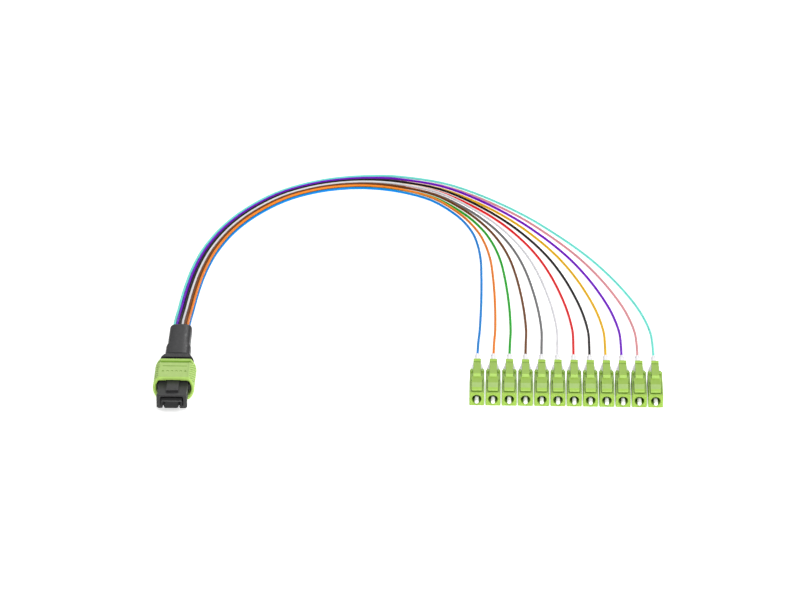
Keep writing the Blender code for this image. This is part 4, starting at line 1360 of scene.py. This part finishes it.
def add_plug_tips(colours):
    """White ceramic tips, slightly domed, in their plated collars."""
    front, back = TIP_LOW.y, TIP_HIGH.y
    flange = front + TIP_LENGTH
    face = TIP_RADIUS - TIP_CHAMFER
    shoulder = front + TIP_CHAMFER + TIP_DOME
    rim = COLLAR_RADIUS - COLLAR_EDGE
    profile = [(face * i / 4, front + TIP_DOME * (i / 4) ** 2) for i in range(5)]
    profile += [
        (TIP_RADIUS - TIP_EDGE, shoulder - TIP_EDGE_LENGTH),
        (TIP_RADIUS, shoulder),
        (TIP_RADIUS, flange),
        (rim, flange),
        (COLLAR_RADIUS, flange + COLLAR_EDGE),
        (COLLAR_RADIUS, back - COLLAR_EDGE),
        (rim, back),
        (0.0, back),
    ]
    tip = turned("tip", profile, 40)
    coat(
        tip,
        tip_ceramic("tip ceramic", colours.ceramic),
        plated_collar("tip collar", colours.collar),
    )
    coat_between(tip.data, flange - MERGE_DISTANCE, back + CUT_PAST)
    smooth(tip, ROUND_ANGLE)
    place_row(tip, "ceramic_tip", "lc_ferrule_{}_set", "lc_ferrule")


def add_plug_tails(colours):
    """White boots: a collar, a slender cone and a thin tube with a rounded end."""
    front, back = TAIL_LOW.y, TAIL_HIGH.y
    base = (TAIL_HIGH.x - TAIL_LOW.x) / 2
    tube = TAIL_TUBE / 2
    cone_start = front + TAIL_CONE_START
    profile = [(0.0, front), (base - TAIL_EDGE, front), (base, front + TAIL_EDGE)]
    for i in range(TAIL_STEPS + 1):
        share = i / TAIL_STEPS
        bow = TAIL_BULGE * math.sin(math.pi * share)
        radius = base + (tube - base) * share + bow
        profile.append((radius, cone_start + TAIL_CONE_LENGTH * share))
    profile += [(tube, cone_start + TAIL_CONE_LENGTH + TAIL_SHOULDER)]
    profile += arc((tube - TAIL_ROUNDING, back - TAIL_ROUNDING), TAIL_ROUNDING, 0, 90, 6)
    bore_end = back - TAIL_BORE_DEPTH
    profile += [(TAIL_BORE / 2, back), (TAIL_BORE / 2, bore_end), (0.0, bore_end)]
    tail = turned("tail", profile)
    coat(tail, milky_white("boot white", colours.tail))
    smooth(tail, ROUND_ANGLE)
    place_row(tail, "white_boot", CABLE, "lc_boot")


# Stage


def add_camera():
    lens = bpy.data.cameras.new("camera")
    lens.lens = CAMERA_LENS
    lens.clip_start = 0.05
    lens.clip_end = 20.0
    camera = loose_object("camera", lens)
    camera.location = CAMERA_PLACE
    camera.rotation_euler = (math.radians(CAMERA_TILT), 0.0, math.radians(CAMERA_TURN))
    bpy.context.scene.camera = camera


def add_floor(colour):
    shape = bmesh.new()
    bmesh.ops.create_grid(shape, x_segments=4, y_segments=4, size=FLOOR_SIDE / 2)
    floor = loose_object("floor", mesh_of(shape, "floor"))
    floor.location.z = -FLOOR_DROP
    made, tree, shader = new_finish("pale floor", 0.85, specular=0.2)
    mottle(tree, shader, colour, 300 * MM, 0.004)
    set_inputs(shader, {"Emission Color": (1.0, 1.0, 1.0, 1.0), "Emission Strength": FLOOR_GLOW})
    coat(floor, made)


def add_softbox(name, place, aim, wide, high, power):
    light = bpy.data.lights.new(name, "AREA")
    light.shape = "RECTANGLE"
    light.size = wide
    light.size_y = high
    light.energy = power
    softbox = loose_object(name, light)
    softbox.visible_camera = False
    softbox.location = place
    heading = Vector(aim) - Vector(place)
    softbox.rotation_euler = heading.to_track_quat("-Z", "Y").to_euler()


def add_world():
    world = bpy.data.worlds.new("studio")
    world.use_nodes = True
    sky = world.node_tree.nodes["Background"]
    set_inputs(sky, {"Color": (1.0, 1.0, 1.0, 1.0), "Strength": SKY_STRENGTH})
    bpy.context.scene.world = world


def add_stage(colours):
    bpy.context.scene.view_settings.view_transform = "Standard"
    add_camera()
    add_world()
    add_floor(colours.floor)
    for light in SOFT_LIGHTS:
        add_softbox(*light)


# Operators, in the order in which the cable is put together


class AddStage(bpy.types.Operator):
    """Add the camera, the pale floor and the soft studio light"""

    bl_idname = "fibre_cable.add_stage"
    bl_label = "Stage"

    def execute(self, context):
        add_stage(context.scene.cable_colours)
        return {"FINISHED"}


class AddFibres(bpy.types.Operator):
    """Add the twelve coloured fibres along their routes"""

    bl_idname = "fibre_cable.add_fibres"
    bl_label = "Fibres"

    def execute(self, context):
        sections = bundle_sections() + fan_sections()
        for number in range(1, FIBRES + 1):
            add_fibre(number, sections, context.scene.fibre_colours)
        return {"FINISHED"}


class AddSleeve(bpy.types.Operator):
    """Add the knurled pull sleeve"""

    bl_idname = "fibre_cable.add_sleeve"
    bl_label = "Pull sleeve"

    def execute(self, context):
        add_sleeve(context.scene.cable_sizes, context.scene.cable_colours)
        return {"FINISHED"}


class AddHousing(bpy.types.Operator):
    """Add the black nose with its key"""

    bl_idname = "fibre_cable.add_housing"
    bl_label = "Inner housing"

    def execute(self, context):
        add_housing(context.scene.cable_sizes, context.scene.cable_colours)
        return {"FINISHED"}


class AddMultiFerrule(bpy.types.Operator):
    """Add the black ferrule and its two guide pins"""

    bl_idname = "fibre_cable.add_multi_ferrule"
    bl_label = "Ferrule and guide pins"

    def execute(self, context):
        add_multi_ferrule(context.scene.cable_colours)
        add_guide_pins(context.scene.cable_colours)
        return {"FINISHED"}


class AddRearBody(bpy.types.Operator):
    """Add the tapered body behind the sleeve"""

    bl_idname = "fibre_cable.add_rear_body"
    bl_label = "Rear body"

    def execute(self, context):
        add_rear_body(context.scene.cable_sizes, context.scene.cable_colours)
        return {"FINISHED"}


class AddMultiBoot(bpy.types.Operator):
    """Add the soft flat-oval boot"""

    bl_idname = "fibre_cable.add_multi_boot"
    bl_label = "Boot"

    def execute(self, context):
        add_multi_boot(context.scene.cable_colours)
        return {"FINISHED"}


class AddPlugBodies(bpy.types.Operator):
    """Add the twelve green latch plugs"""

    bl_idname = "fibre_cable.add_plug_bodies"
    bl_label = "Latch plugs"

    def execute(self, context):
        add_plug_bodies(context.scene.cable_sizes, context.scene.cable_colours)
        return {"FINISHED"}


class AddPlugTips(bpy.types.Operator):
    """Add the twelve ceramic tips"""

    bl_idname = "fibre_cable.add_plug_tips"
    bl_label = "Ceramic tips"

    def execute(self, context):
        add_plug_tips(context.scene.cable_colours)
        return {"FINISHED"}


class AddPlugTails(bpy.types.Operator):
    """Add the twelve white boots"""

    bl_idname = "fibre_cable.add_plug_tails"
    bl_label = "White boots"

    def execute(self, context):
        add_plug_tails(context.scene.cable_colours)
        return {"FINISHED"}


STEPS = (
    AddStage,
    AddFibres,
    AddSleeve,
    AddHousing,
    AddMultiFerrule,
    AddRearBody,
    AddMultiBoot,
    AddPlugBodies,
    AddPlugTips,
    AddPlugTails,
)


class CablePanel(bpy.types.Panel):
    """Lists the cable's pieces, sizes and colours"""

    bl_idname = "VIEW3D_PT_fibre_cable"
    bl_label = "Fibre breakout cable"
    bl_space_type = "VIEW_3D"
    bl_region_type = "UI"
    bl_category = "Fibre cable"

    def draw(self, context):
        scene = context.scene
        for step in STEPS:
            self.layout.operator(step.bl_idname, text=step.bl_label)
        for group in (scene.cable_sizes, scene.cable_colours, scene.fibre_colours):
            box = self.layout.box()
            for name in type(group).__annotations__:
                box.prop(group, name)


GROUPS = (CableSizes, CableColours, FibreColours)
CLASSES = GROUPS + STEPS + (CablePanel,)


def register():
    for kind in CLASSES:
        bpy.utils.register_class(kind)
    bpy.types.Scene.cable_sizes = PointerProperty(type=CableSizes)
    bpy.types.Scene.cable_colours = PointerProperty(type=CableColours)
    bpy.types.Scene.fibre_colours = PointerProperty(type=FibreColours)


def unregister():
    del bpy.types.Scene.fibre_colours
    del bpy.types.Scene.cable_colours
    del bpy.types.Scene.cable_sizes
    for kind in reversed(CLASSES):
        bpy.utils.unregister_class(kind)


def main():
    register()
    for step in STEPS:
        group, name = step.bl_idname.split(".")
        getattr(getattr(bpy.ops, group), name)()


if __name__ == "__main__":
    main()
